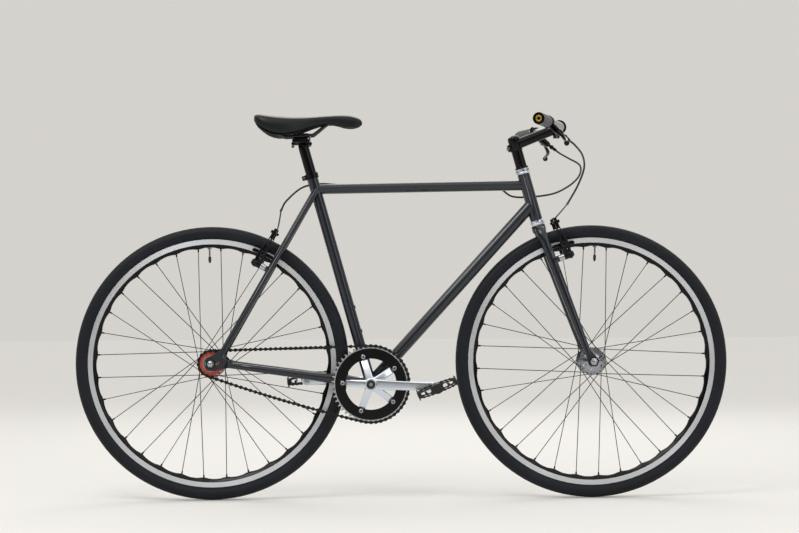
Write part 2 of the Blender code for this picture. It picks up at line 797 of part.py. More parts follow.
def fork_steerer():
    steerer_top = STEM_BASE + STEM_BODY_HEIGHT - 0.006
    race = -GAP - LOWER_CUP_HEIGHT - GAP
    radius = STEERER_DIAMETER / 2
    profile = [
        (0, steerer_top),
        (radius, steerer_top),
        (radius, race),
        (0.0176, race),
        (0.0176, race - 0.0014),
        (0.0125, race - 0.0016),
        (0, race - 0.010),
    ]
    steerer = turned(profile, HEAD_LOW, HEAD_UP, 16)
    half_wide = CROWN_DIAMETER / 2
    half_tall = CROWN_HEIGHT / 2
    ends = (-CROWN_HALF_WIDTH + GAP / 2, CROWN_HALF_WIDTH - GAP / 2)
    rings = [oval(CROWN + ACROSS * y, BLADE_AHEAD, BLADE_DOWN, half_wide, half_tall, 12) for y in ends]
    join(steerer, loft(rings))
    finished(steerer, "fork_steerer", "charcoal paint", steering)


def fork_blade(side, name):
    """A straight tapered blade that curves in to the crown, with its dropout and brake boss."""
    top_y = BLADE_SPREAD_TOP / 2
    length = BLADE_RUN.length
    stations = [
        (0.0, CROWN_HALF_WIDTH + GAP / 2, 0, CROWN_DIAMETER / 2, CROWN_HEIGHT / 2),
        (0.0008, CROWN_HALF_WIDTH + 0.006, 12, CROWN_DIAMETER / 2, CROWN_HEIGHT / 2),
        (0.0060, top_y - 0.0065, 42, 0.0131, 0.0102),
        (0.0160, top_y - 0.0012, 72, 0.0128, 0.0098),
        (0.0350, top_y, 86, 0.0125, 0.0096),
        (length * 0.35, top_y + 0.0040, 87, 0.0122, 0.0095),
        (length * 0.75, top_y + 0.0130, 87, 0.0103, 0.0085),
        (length - 0.016, FORK_END_MIDDLE, 87, 0.0078, 0.0070),
    ]
    rings = []
    for distance, y, bend, half_ahead, half_across in stations:
        centre = CROWN + BLADE_DOWN * distance + ACROSS * side * y
        turn = math.radians(bend)
        outward = ACROSS * side * math.sin(turn) - BLADE_DOWN * math.cos(turn)
        rings.append(oval(centre, BLADE_AHEAD, outward, half_ahead, half_across, 12))
    blade = loft(rings)
    matrix = frame_at(FRONT_AXLE + ACROSS * side * FORK_END_MIDDLE, -ACROSS, (1, 0, 0))
    join(blade, plate([fork_end_outline()], DROPOUT_THICKNESS, matrix))
    boss_root = boss_centre_on(CROWN + BLADE_DOWN * FRONT_PIVOT_DROP, side)
    join(blade, brake_boss(boss_root, BLADE_AHEAD, FRONT_BOSS_LENGTH, 0.0080))
    finished(blade, name, "charcoal paint", steering)


def fork_end_outline():
    """The plate round the front axle, open downwards, in the side view."""
    slot = FRONT_AXLE_DIAMETER / 2 + GAP
    radius = 0.0145
    open_to = -0.0135
    start = math.degrees(math.asin(-math.sqrt(1 - (slot / radius) ** 2)))
    outline = arc(0, 0, radius, start, 55, 4)
    root = -BLADE_DOWN * 0.030 - Vector((BLADE_BEHIND_AXLE, 0, 0))
    outline += [(root.x + 0.0062, root.z + 0.0022), (root.x - 0.0062, root.z - 0.0022)]
    outline += arc(0, 0, radius, 165, 180 - start, 3)
    outline += [(-slot, open_to * 0.5)]
    outline += arc(0, 0, slot, 180, 0, 6)
    outline += [(slot, open_to * 0.5)]
    return outline


FRONT_PIVOT_HEIGHT = math.sqrt(TRACK_RADIUS**2 - FRONT_BOSS_LENGTH**2) - PAD_ABOVE_PIVOT - 0.0035
FRONT_PIVOT_DROP = BLADE_RUN.length - FRONT_PIVOT_HEIGHT


def stem_spacers():
    """The locknut and the black column under the stem, in one stack."""
    inner = clear_of(STEERER_DIAMETER / 2, 14)
    outer = SPACER_DIAMETER / 2
    profile = [
        (inner, SPACER_BASE + SPACER_HEIGHT),
        (outer, SPACER_BASE + SPACER_HEIGHT),
        (outer, SPACER_BASE),
        (outer + 0.0028, SPACER_BASE),
        (outer + 0.0028, LOCKNUT_BASE),
        (inner, LOCKNUT_BASE),
    ]
    finished(turned(profile, HEAD_LOW, HEAD_UP, 14), "stem_spacers", "black anodised alloy", steering)


def stem_clamp_centre():
    """Where the handlebar passes through the stem."""
    start = up_steering(STEM_BASE + STEM_BODY_HEIGHT * 0.42)
    return start + Vector((math.sqrt(STEM_EXTENSION**2 - STEM_RISE**2), 0, STEM_RISE))


BAR_CENTRE = stem_clamp_centre()


def stem():
    radius = STEM_BODY_DIAMETER / 2
    top = STEM_BASE + STEM_BODY_HEIGHT
    profile = [
        (0, top),
        (radius - 0.002, top),
        (radius, top - 0.002),
        (radius, STEM_BASE),
        (0, STEM_BASE),
    ]
    body = turned(profile, HEAD_LOW, HEAD_UP, 14)
    start = up_steering(STEM_BASE + STEM_BODY_HEIGHT * 0.42)
    run = (BAR_CENTRE - start).normalized()
    neck = rod([start + run * 0.004, BAR_CENTRE - run * 0.012], STEM_EXTENSION_DIAMETER / 2, 10)
    steerer_space = cylinder(
        up_steering(STEM_BASE - 0.01), up_steering(top - 0.0055), clear_of(STEERER_DIAMETER / 2, 14), 14
    )
    clamp = cylinder(BAR_CENTRE - ACROSS * 0.020, BAR_CENTRE + ACROSS * 0.020, 0.0185, 14)
    bar_space = cylinder(
        BAR_CENTRE - ACROSS * 0.03, BAR_CENTRE + ACROSS * 0.03, clear_of(BAR_CLAMP_DIAMETER / 2, 12), 12
    )
    back = Vector((-HEAD_UP.z, 0, HEAD_UP.x))
    bolt_at = up_steering(STEM_BASE + 0.012) + back * (radius + 0.0030)
    lug = box(bolt_at - back * 0.003, (0.009, 0.020, 0.018), HEAD_UP, back)
    bolt = cylinder(bolt_at - ACROSS * 0.0125, bolt_at + ACROSS * 0.0125, 0.0036, 8)
    join(body, neck, clamp, lug, bolt)
    cut(body, steerer_space, bar_space)
    finished(body, "stem", "black anodised alloy", steering)


# Handlebar, grips and levers

BAR_HALF = BAR_WIDTH / 2
GRIP_END_Y = BAR_HALF - GRIP_DIAMETER / 2 * math.sin(BAR_SWEEP)
BAR_BEND_Y = BAR_STRAIGHT / 2


def bar_direction(side):
    """The direction in which a handlebar end points."""
    return Vector((-math.sin(BAR_SWEEP), side * math.cos(BAR_SWEEP), 0))


def bar_point(side, y):
    """A point on the bar's axis at this distance from the middle plane."""
    return BAR_CENTRE + Vector((-math.tan(BAR_SWEEP) * max(0, y - BAR_BEND_Y), side * y, 0))


def handlebar():
    bend = 0.018
    half = []
    for y, radius in (
        (0.0, BAR_CLAMP_DIAMETER / 2),
        (0.024, BAR_CLAMP_DIAMETER / 2),
        (0.027, BAR_DIAMETER / 2),
    ):
        half.append((BAR_CENTRE + ACROSS * y, radius))
    for step in range(4):
        t = step / 3
        start = bar_point(LEFT, BAR_BEND_Y - bend * 0.7)
        corner = bar_point(LEFT, BAR_BEND_Y)
        finish = bar_point(LEFT, BAR_BEND_Y + bend)
        point = start * (1 - t) ** 2 + corner * 2 * t * (1 - t) + finish * t**2
        half.append((point, BAR_DIAMETER / 2))
    half.append((bar_point(LEFT, GRIP_END_Y - 0.006), BAR_DIAMETER / 2))
    mirrored = [(Vector((p.x, -p.y, p.z)), r) for p, r in reversed(half[1:])]
    whole = mirrored + half
    points = [point for point, radius in whole]
    radii = [radius for point, radius in whole]
    bar = rod(points, BAR_DIAMETER / 2, 10, radii)
    finished(bar, "handlebar", "silver paint", steering)


def grip(side, name):
    bore = clear_of(BAR_DIAMETER / 2, 16)
    radius = GRIP_DIAMETER / 2
    outward = bar_direction(side)
    end = bar_point(side, GRIP_END_Y)
    profile = [
        (0, 0),
        (radius, 0),
        (radius, -GRIP_LENGTH),
        (bore, -GRIP_LENGTH),
        (bore, -0.0055),
        (0, -0.0055),
    ]
    finished(turned(profile, end, outward, 16), name, "grey grip rubber", steering)


LEVER_Y = BAR_HALF - LEVER_FROM_END
LEVER_OUT = Vector((math.cos(LEVER_PLANE_DROP), 0, -math.sin(LEVER_PLANE_DROP)))


def lever_frame(side):
    """The bar point under a lever, the lever's reach direction and its pin direction."""
    along = bar_direction(side)
    reach = LEVER_OUT - along * LEVER_OUT.dot(along)
    reach.normalize()
    pin = reach.cross(along) * side
    return bar_point(side, LEVER_Y), along, reach, pin.normalized()


LEVER_PIVOT_REACH = 0.034
LEVER_PIVOT_OUT = 0.006


def cable_adjuster(side):
    """Where the cable's adjuster leaves the bracket, and its direction."""
    centre, along, reach, pin = lever_frame(side)
    return centre + reach * 0.040 - along * 0.010, (reach * 0.88 - along * 0.47).normalized()


def lever_bracket(side, name):
    """The clamp round the bar, the yoke that holds the lever and the cable's adjuster."""
    centre, along, reach, pin = lever_frame(side)
    half = 0.0075
    clamp = cylinder(centre - along * half, centre + along * half, 0.0160, 14)
    pivot = centre + reach * LEVER_PIVOT_REACH + along * LEVER_PIVOT_OUT
    rings = []
    for reach_at, along_at, half_along, half_pin in (
        (0.0125, 0.000, 0.0075, 0.0080),
        (0.0240, 0.000, 0.0100, 0.0085),
        (0.0360, -0.002, 0.0150, 0.0080),
        (0.0440, -0.006, 0.0110, 0.0075),
    ):
        at = centre + reach * reach_at + along * along_at
        rings.append(oval(at, along, pin, half_along, half_pin, 8, 0.7))
    body = loft(rings)
    mouth = box(pivot + along * 0.010 + reach * 0.006, (0.034, 0.040, 0.0082), pin, along)
    adjuster_start, adjuster_run = cable_adjuster(side)
    adjuster = turned(
        [
            (0, 0.030),
            (0.0042, 0.030),
            (0.0042, 0.020),
            (0.0058, 0.018),
            (0.0042, 0),
            (0, 0),
        ],
        adjuster_start,
        adjuster_run,
        8,
    )
    hinge_pin = cylinder(pivot - pin * 0.0088, pivot + pin * 0.0088, 0.0024, 8)
    join(clamp, body)
    bar_space = cylinder(centre - along * 0.03, centre + along * 0.03, clear_of(BAR_DIAMETER / 2, 14), 14)
    cut(clamp, mouth, bar_space)
    join(clamp, adjuster, hinge_pin)
    finished(clamp, name, "black anodised alloy", steering)


def brake_lever(side, name, parent):
    """A two finger blade that hinges in the bracket and ends in a ball."""
    centre, along, reach, pin = lever_frame(side)
    pivot = centre + reach * LEVER_PIVOT_REACH + along * LEVER_PIVOT_OUT
    hub = cylinder(pivot - pin * 0.0036, pivot + pin * 0.0036, 0.0062, 10)
    rings = []
    for along_at, reach_at, half_reach, half_pin in (
        (-0.0010, 0.000, 0.0050, 0.0034),
        (0.0100, 0.012, 0.0055, 0.0034),
        (0.0220, 0.030, 0.0048, 0.0048),
        (0.0420, 0.041, 0.0040, 0.0055),
        (0.0640, 0.046, 0.0038, 0.0055),
        (0.0790, 0.0520, 0.0042, 0.0050),
    ):
        at = pivot + along * along_at + reach * reach_at
        rings.append(oval(at, reach, pin, half_reach, half_pin, 6))
    blade = loft(rings)
    ball_at = pivot + along * 0.0820 + reach * 0.0540
    bm = bmesh.new()
    bmesh.ops.create_uvsphere(bm, u_segments=6, v_segments=4, radius=0.0068)
    ball = mesh_from("ball", bm, Matrix.Translation(ball_at))
    bore = cylinder(pivot - pin * 0.01, pivot + pin * 0.01, clear_of(0.0024, 8), 8)
    join(hub, blade, ball)
    cut(hub, bore)
    finished(hub, name, "black anodised alloy", parent)


# Rim brakes

def brake_arm(side, pivot, arm_up, axis, name, parent, with_noodle):
    """One arm of a rim brake with its pad. The arm turns on an axis square to the wheel's."""
    out = ACROSS * side
    hub_radius = 0.0088
    half_hub = BRAKE_HUB_LENGTH / 2
    hub = cylinder(pivot - axis * half_hub, pivot + axis * half_hub, hub_radius, 10)
    rings = []
    for up_at, out_at, half_out, half_axis in (
        (0.003, 0.000, 0.0080, 0.0092),
        (0.034, 0.006, 0.0058, 0.0080),
        (0.060, 0.008, 0.0045, 0.0060),
        (0.089, 0.005, 0.0045, 0.0065),
    ):
        at = pivot + arm_up * up_at + out * out_at
        rings.append(oval(at, out, axis, half_out, half_axis, 8, 0.6))
    arm = loft(rings)
    head_length = 0.018 if with_noodle else 0.014
    head_at = pivot + arm_up * BRAKE_ARM_LENGTH + out * 0.005
    head = box(head_at, (0.011, head_length, 0.007), arm_up, out)
    pad_face = RIM_WIDTH / 2 + PAD_CLEARANCE
    pad_middle = pivot + arm_up * PAD_ABOVE_PIVOT
    pad_y = pad_face + PAD_DEPTH / 2
    pad_centre = Vector((pad_middle.x, side * pad_y, pad_middle.z))
    radial = pad_centre - parent_wheel(axis)
    radial.y = 0
    radial.normalize()
    tangent = radial.cross(ACROSS).normalized()
    rings = []
    for step in range(4):
        t = step / 3 - 0.5
        sag = TRACK_RADIUS - math.sqrt(TRACK_RADIUS**2 - (PAD_LENGTH * t) ** 2)
        at = pad_centre + tangent * PAD_LENGTH * t - radial * sag
        rings.append(oval(at, ACROSS, radial, PAD_DEPTH * 0.707, PAD_HEIGHT * 0.707, 4))
    pad = loft(rings)
    post_end = pivot.y + side * 0.0135
    post = cylinder(
        Vector((pad_centre.x, side * (pad_y - 0.001), pad_centre.z)),
        Vector((pad_centre.x, post_end, pad_centre.z)),
        0.0034,
        6,
    )
    nut = cylinder(
        Vector((pad_centre.x, pivot.y + side * 0.0095, pad_centre.z)),
        Vector((pad_centre.x, pivot.y + side * 0.0150, pad_centre.z)),
        0.0062,
        6,
    )
    bore = cylinder(
        pivot - axis * 0.03, pivot + axis * 0.03, clear_of(BRAKE_BOLT_DIAMETER / 2, 10), 10
    )
    join(hub, arm, head, post, pad, nut)
    cut(hub, bore)
    finished(hub, name, "black anodised alloy", parent)


def parent_wheel(axis):
    """The axle of the wheel that a brake works on: ahead-facing brakes belong to the front."""
    return FRONT_AXLE if axis.x > 0 else REAR_AXLE


def brake_pivot(root, outward, length, side):
    """The middle of a brake arm's hub."""
    return boss_centre_on(root, side) + outward * length


FRONT_PIVOT_ROOT = CROWN + BLADE_DOWN * FRONT_PIVOT_DROP
REAR_PIVOT_ROOT = up_stay(RIGHT, REAR_PIVOT_HEIGHT)


def brakes():
    for side, word in ((RIGHT, "right"), (LEFT, "left")):
        pivot = brake_pivot(FRONT_PIVOT_ROOT, BLADE_AHEAD, FRONT_BOSS_LENGTH, side)
        name = "front_brake_arm_" + word
        parent = joint("front_brake_" + word, pivot, BLADE_AHEAD, steering)
        brake_arm(side, pivot, -BLADE_DOWN, BLADE_AHEAD, name, parent, side == RIGHT)
        pivot = brake_pivot(REAR_PIVOT_ROOT, STAY_BACK, REAR_BOSS_LENGTH, side)
        name = "rear_brake_arm_" + word
        parent = joint("rear_brake_" + word, pivot, STAY_BACK)
        brake_arm(side, pivot, STAY_UP, STAY_BACK, name, parent, side == LEFT)


# Wheels

FACET_HALF = math.pi / WHEEL_FACETS
FACET_CORNER = Vector((math.sin(FACET_HALF), 0, -math.cos(FACET_HALF)))


def tyre(axle, name, parent):
    """A tyre whose lowest facet is level, so that it stands flat on the ground."""
    corner = 1 / math.cos(math.pi / WHEEL_FACETS)
    half_flat = TREAD_FLAT / 2
    half = TYRE_WIDTH / 2
    bead = (RIM_RADIUS + GAP) * corner
    tread = WHEEL_RADIUS * corner
    wall = bead + (tread - bead) * 0.50
    bead_half = RIM_WIDTH / 2 + GAP
    profile = [
        (tread, half_flat),
        (tread, -half_flat),
        (wall, -half),
        (bead, -bead_half),
        (bead, bead_half),
        (wall, half),
    ]
    made = turned(profile, axle, ACROSS, WHEEL_FACETS, FACET_CORNER)
    finished(made, name, "tyre rubber", parent)


def around(axle, angle, radius, y=0.0):
    """A point of a wheel, its angle measured forward from straight up."""
    return axle + Vector((math.sin(angle) * radius, y, math.cos(angle) * radius))


def rim(axle, valve_lean, name, parent):
    """A rim with two brake tracks and its valve."""
    half = RIM_WIDTH / 2
    bed = RIM_BED_WIDTH / 2
    corner = 1 / math.cos(FACET_HALF)
    profile = [
        (RIM_RADIUS * corner, half),
        (RIM_RADIUS * corner, -half),
        (RIM_RADIUS - BRAKE_TRACK, -half),
        (RIM_INNER_RADIUS, -bed),
        (RIM_INNER_RADIUS, bed),
        (RIM_RADIUS - BRAKE_TRACK, half),
    ]
    made = turned(profile, axle, ACROSS, WHEEL_FACETS, FACET_CORNER)
    inward = around(Vector((0, 0, 0)), valve_lean, -1)
    stem_base = around(axle, valve_lean, RIM_INNER_RADIUS + 0.004)
    radius = VALVE_DIAMETER / 2
    valve = turned(
        [
            (0, VALVE_LENGTH + 0.004),
            (radius * 0.5, VALVE_LENGTH + 0.004),
            (radius * 1.1, VALVE_LENGTH * 0.6),
            (radius, 0),
            (0, 0),
        ],
        stem_base,
        inward,
        6,
    )
    join(made, valve)
    finished(made, name, "machined alloy", parent)


def hub_profile(half_spacing, driven):
    """A hub's bored body with its two tall flanges. The drive side is at the bottom."""
    flange = FLANGE_DIAMETER / 2
    collar = HUB_COLLAR_DIAMETER / 2
    barrel = HUB_BARREL_DIAMETER / 2
    bore = clear_of((REAR_AXLE_DIAMETER if driven else FRONT_AXLE_DIAMETER) / 2, 16)
    end = half_spacing - LOCKNUT_LENGTH - GAP
    outside = FLANGE_SPREAD / 2 + FLANGE_THICKNESS / 2
    inside = FLANGE_SPREAD / 2 - FLANGE_THICKNESS / 2
    profile = [
        (bore, end),
        (collar, end),
        (collar, outside),
        (flange, outside),
        (flange, inside),
        (barrel, inside - 0.004),
        (barrel, -inside + 0.004),
        (flange, -inside),
        (flange, -outside),
    ]
    if driven:
        profile += [
            (COG_SEAT_RADIUS + 0.003, -outside),
            (COG_SEAT_RADIUS + 0.003, -COG_INNER_FACE),
            (COG_SEAT_RADIUS, -COG_INNER_FACE),
            (COG_SEAT_RADIUS, -end),
        ]
    else:
        profile += [(collar, -outside), (collar, -end)]
    profile.append((bore, -end))
    return profile


COG_SEAT_RADIUS = 0.0165
COG_INNER_FACE = CHAIN_LINE - SPROCKET_THICKNESS / 2 - GAP


def flange_windows(axle):
    """Wedges that open both flanges between their petals, as one cutter."""
    inner = HUB_COLLAR_DIAMETER / 2 + 0.0055
    outer = FLANGE_DIAMETER / 2 - 0.0085
    bm = bmesh.new()
    for flange_side in (RIGHT, LEFT):
        for window in range(FLANGE_WINDOWS):
            middle = 2 * math.pi * window / FLANGE_WINDOWS
            corners = []
            for radius, spread in ((inner, 0.22), (outer, 0.30)):
                for sign in (-1, 1):
                    angle = middle + sign * spread
                    corners.append((math.cos(angle) * radius, math.sin(angle) * radius))
            middle_z = flange_side * FLANGE_SPREAD / 2
            rows = []
            for z in (middle_z - 0.004, middle_z + 0.004):
                order = (0, 2, 3, 1)
                rows.append([bm.verts.new((corners[i][0], corners[i][1], z)) for i in order])
            for index in range(4):
                following = (index + 1) % 4
                bm.faces.new((rows[0][index], rows[0][following], rows[1][following], rows[1][index]))
            bm.faces.new(reversed(rows[0]))
            bm.faces.new(rows[1])
    bmesh.ops.recalc_face_normals(bm, faces=bm.faces)
    return mesh_from("windows", bm, frame_at(axle, ACROSS))


def spokes(axle, valve_lean):
    """All the spokes of a wheel, laced across each other from flange to rim."""
    hole_radius = FLANGE_DIAMETER / 2 - 0.0030
    rim_end = RIM_INNER_RADIUS * math.cos(FACET_HALF) - GAP
    lacing = SPOKE_CROSSES * 4 * math.pi / SPOKES
    bm = bmesh.new()
    for index in range(SPOKES):
        side = RIGHT if index % 2 == 0 else LEFT
        turn = 1 if (index // 2) % 2 == 0 else -1
        rim_angle = valve_lean + (2 * index + 1) * math.pi / SPOKES
        hub_angle = rim_angle + turn * lacing
        hub_y = side * (FLANGE_SPREAD / 2 + turn * 0.0012)
        start = around(axle, hub_angle, hole_radius, hub_y)
        end = around(axle, rim_angle, rim_end, side * 0.0015)
        run = end - start
        bmesh.ops.create_cone(
            bm,
            cap_ends=True,
            segments=3,
            radius1=SPOKE_DIAMETER / 2,
            radius2=SPOKE_DIAMETER / 2,
            depth=run.length,
            matrix=frame_at((start + end) / 2, run, ACROSS),
        )
    return mesh_from("spokes", bm, Matrix.Identity(4))


def hub(axle, spacing, driven, valve_lean, name, parent):
    body = turned(hub_profile(spacing / 2, driven), axle, ACROSS, 16)
    cut(body, flange_windows(axle))
    boolean(body, spokes(axle, valve_lean), "UNION").use_self = True
    finished(body, name, "polished alloy", parent)


def axle_rod(axle, spacing, diameter, name, parent):
    """A solid axle with its locknuts, which meet the inner faces of the dropouts."""
    end = spacing / 2 + DROPOUT_THICKNESS + AXLE_OVERHANG
    outside = spacing / 2 - GAP
    inside = spacing / 2 - LOCKNUT_LENGTH
    radius = diameter / 2
    locknut = LOCKNUT_DIAMETER / 2
    profile = [
        (0, end),
        (radius, end),
        (radius, outside),
        (locknut, outside),
        (locknut, inside),
        (radius, inside),
        (radius, -inside),
        (locknut, -inside),
        (locknut, -outside),
        (radius, -outside),
        (radius, -end),
        (0, -end),
    ]
    finished(turned(profile, axle, ACROSS, 10), name, "chromed steel", parent)


def axle_nut(axle, spacing, axle_diameter, nut_diameter, side, name, parent):
    """A domed nut with a washer, over the axle's end."""
    base = spacing / 2 + DROPOUT_THICKNESS + GAP
    tip = spacing / 2 + DROPOUT_THICKNESS + AXLE_OVERHANG + GAP
    bore = clear_of(axle_diameter / 2, 10)
    radius = nut_diameter / 2
    profile = [
        (0, tip + 0.0025),
        (radius * 0.65, tip + 0.0015),
        (radius, tip - 0.004),
        (radius * 1.1, base),
        (bore, base),
        (bore, tip),
        (0, tip),
    ]
    finished(turned(profile, axle, ACROSS * side, 10), name, "chromed steel", parent)


def wheels():
    for word, axle, lean, spacing, diameter, nut, parent, carrier in (
        ("front", FRONT_AXLE, FRONT_VALVE_LEAN, FRONT_SPACING, FRONT_AXLE_DIAMETER,
         FRONT_NUT_DIAMETER, front_wheel, steering),
        ("rear", REAR_AXLE, REAR_VALVE_LEAN, REAR_SPACING, REAR_AXLE_DIAMETER,
         REAR_NUT_DIAMETER, rear_wheel, None),
    ):
        tyre(axle, word + "_tyre", parent)
        rim(axle, lean, word + "_rim", parent)
        hub(axle, spacing, word == "rear", lean, word + "_hub", parent)
        axle_rod(axle, spacing, diameter, word + "_axle", carrier)
        for side, hand in ((RIGHT, "right"), (LEFT, "left")):
            name = word + "_axle_nut_" + hand
            axle_nut(axle, spacing, diameter, nut, side, name, carrier)


# Chain drive

def sprocket_outline(teeth):
    """A tooth for every roller, with seats that clear the rollers by the gap."""
    radius = pitch_radius(teeth)
    root = radius - ROLLER_DIAMETER / 2 - GAP
    tip = radius + CHAIN_PITCH * 0.25
    seat_half = math.asin(CHAIN_PITCH * 0.20 / root)
    half_pitch = math.pi / teeth
    outline = []
    for tooth in range(teeth):
        roller = 2 * half_pitch * tooth
        for angle, at in (
            (roller - seat_half, root),
            (roller + seat_half, root),
            (roller + half_pitch, tip),
        ):
            outline.append((math.cos(angle) * at, math.sin(angle) * at))
    return outline


def sprocket(centre, teeth, pins, bore_radius, bore_sides):
    """A toothed plate on the chain line, with a round opening."""
    half_tooth = Matrix.Rotation((pins + 1) % 2 * math.pi / teeth, 4, "Z")
    matrix = frame_at(centre - ACROSS * CHAIN_LINE, -ACROSS, chain_direction()) @ half_tooth
    opening = arc(0, 0, bore_radius, 0, 360 - 360 / bore_sides, bore_sides - 1)
    return solid(plate([sprocket_outline(teeth), opening], SPROCKET_THICKNESS, matrix))


def chain_direction():
    """From the rear axle to the bottom bracket."""
    return (BRACKET - REAR_AXLE).normalized()


def spider_angles():
    """Where the five arms of the spider point. One lies behind the crank arm's line."""
    return [CRANK_ANGLE + math.pi + 2 * math.pi * i / SPIDER_ARMS for i in range(SPIDER_ARMS)]


def in_side_view(angle, radius):
    """A direction in the side view, its angle above straight ahead."""
    return Vector((math.cos(angle) * radius, 0, math.sin(angle) * radius))


def chainring():
    made = sprocket(BRACKET, RING_TEETH, RING_PINS, RING_INNER_RADIUS, 24)
    for angle in spider_angles():
        at = BRACKET + in_side_view(angle, BOLT_CIRCLE_RADIUS) - ACROSS * CHAIN_LINE
        radius = RING_BOLT_DIAMETER / 2
        join(made, cylinder(at, at - ACROSS * (SPROCKET_THICKNESS / 2 + 0.0018), radius, 8))
    finished(made, "chainring", "black anodised alloy", crankset)


def cog_and_lockring():
    cog = sprocket(REAR_AXLE, COG_TEETH, COG_PINS, clear_of(COG_SEAT_RADIUS, 16), 16)
    finished(cog, "cog", "red anodised steel", rear_wheel)
    inner = clear_of(COG_SEAT_RADIUS, 16)
    near = CHAIN_LINE + SPROCKET_THICKNESS / 2 + GAP
    far = REAR_INNER - LOCKNUT_LENGTH - GAP
    lockring = turned(ring(inner + 0.004, inner, near, far), REAR_AXLE, -ACROSS, 16)
    notches = [
        box(REAR_AXLE - ACROSS * far + in_side_view(math.tau * i / 3, inner + 0.004), (0.006, 0.005, 0.006))
        for i in range(3)
    ]
    cut(lockring, *notches)
    finished(lockring, "lockring", "chromed steel", rear_wheel)


def chain_pins():
    """The pins of the whole loop in order, as points in the chain's plane."""
    forward = chain_direction()
    upward = Vector((-forward.z, 0, forward.x))
    ring_end = RING_HALF_ANGLE
    pins = []
    for index in range(RING_PINS):
        angle = ring_end - 2 * ring_end * index / (RING_PINS - 1)
        pins.append(BRACKET + (forward * math.cos(angle) + upward * math.sin(angle)) * RING_RADIUS)
    cog_pins = []
    for index in range(COG_PINS):
        angle = COG_HALF_ANGLE * (2 * index / (COG_PINS - 1) - 1)
        cog_pins.append(REAR_AXLE + (upward * math.sin(angle) - forward * math.cos(angle)) * COG_RADIUS)
    for index in range(1, RUN_LINKS):
        pins.append(pins[RING_PINS - 1].lerp(cog_pins[0], index / RUN_LINKS))
    pins += cog_pins
    for index in range(1, RUN_LINKS):
        pins.append(cog_pins[-1].lerp(pins[0], index / RUN_LINKS))
    return pins


def chain_side(pins, side):
    """One side of the chain: plates with drawn-in waists, inner and outer ones in turn."""
    count = len(pins)
    half_plate = CHAIN_PLATE_THICKNESS / 2
    inner_y = CHAIN_INNER_WIDTH / 2 + half_plate
    outer_y = inner_y + CHAIN_PLATE_THICKNESS * 0.85
    bm = bmesh.new()
    rows = []
    for index, pin in enumerate(pins):
        before = pins[index - 1]
        after = pins[(index + 1) % count]
        offset_link = index == count - 1
        link_y = inner_y if index % 2 == 0 else outer_y
        if offset_link:
            link_y = (inner_y + outer_y) / 2
        pin_y = (inner_y + outer_y) / 2
        for at, run, y, height in (
            (pin, after - before, pin_y, CHAIN_PLATE_HEIGHT),
            ((pin + after) / 2, after - pin, link_y, CHAIN_WAIST_HEIGHT),
        ):
            along = run.normalized()
            upward = Vector((-along.z, 0, along.x))
            row = []
            for up, thick in ((1, 1), (1, -1), (-1, -1), (-1, 1)):
                sideways = ACROSS * (side * (y + thick * half_plate) - CHAIN_LINE)
                row.append(bm.verts.new(at + upward * up * height / 2 + sideways))
            rows.append(row)
    for row, next_row in zip(rows, rows[1:] + rows[:1]):
        for index in range(4):
            following = (index + 1) % 4
            bm.faces.new((row[index], row[following], next_row[following], next_row[index]))
    bmesh.ops.recalc_face_normals(bm, faces=bm.faces)
    return mesh_from("chain_side", bm, Matrix.Identity(4))


def chain_rollers(pins):
    """A roller at every pin, long enough to reach into the plates on both sides."""
    bm = bmesh.new()
    for index, pin in enumerate(pins):
        run = pins[(index + 1) % len(pins)] - pins[index - 1]
        bmesh.ops.create_cone(
            bm,
            cap_ends=True,
            segments=3,
            radius1=ROLLER_DIAMETER / 2,
            radius2=ROLLER_DIAMETER / 2,
            depth=CHAIN_INNER_WIDTH + CHAIN_PLATE_THICKNESS * 1.4,
            matrix=frame_at(pin - ACROSS * CHAIN_LINE, ACROSS, run),
        )
    return mesh_from("chain_rollers", bm, Matrix.Identity(4))


def chain():
    """The whole loop round both sprockets. One offset link closes its odd number of links."""
    pins = chain_pins()
    made = chain_side(pins, RIGHT)
    join(made, chain_side(pins, LEFT), chain_rollers(pins))
    finished(made, "chain", "black steel")


# Bottom bracket, cranks and pedals

def bracket_cups():
    for side, name in ((RIGHT, "bb_cup_right"), (LEFT, "bb_cup_left")):
        thread = SHELL_BORE / 2 - GAP
        bore = clear_of(SPINDLE_DIAMETER / 2, 14)
        face = SHELL_HALF + GAP
        profile = [
            (bore, face + 0.0035),
            (SHELL_DIAMETER / 2 - 0.0025, face + 0.0035),
            (SHELL_DIAMETER / 2 - 0.0005, face),
            (thread, face),
            (thread, SHELL_HALF - 0.020),
            (bore, SHELL_HALF - 0.020),
        ]
        cup = turned(profile, BRACKET, ACROSS * side, 14)
        finished(cup, name, "chromed steel")


CRANK_INNER_FACE = CRANK_OUTER_FACE - 0.025


def bb_spindle():
    radius = SPINDLE_DIAMETER / 2
    inner = SHELL_HALF + 0.007
    outer = CRANK_OUTER_FACE - 0.009
    half = SPINDLE_SQUARE / 2
    spindle = turned(
        [(0, inner), (radius, inner), (radius, -inner), (0, -inner)], BRACKET, ACROSS, 12
    )
    ahead = in_side_view(CRANK_ANGLE, 1)
    for side in (RIGHT, LEFT):
        middle = (inner - 0.002 + outer) / 2
        length = outer - inner + 0.002
        square = box(
            BRACKET + ACROSS * side * middle, (half * 2, half * 2, length), ACROSS, ahead
        )
        cap = turned(
            [
                (0, outer + 0.0085),
                (0.0105, outer + 0.0080),
                (0.0105, outer + 0.0030),
                (0.0045, outer + 0.0020),
                (0.0045, outer - 0.002),
                (0, outer - 0.002),
            ],
            BRACKET,
            ACROSS * side,
            12,
        )
        join(spindle, square, cap)
    finished(spindle, "bb_spindle", "chromed steel", crankset)


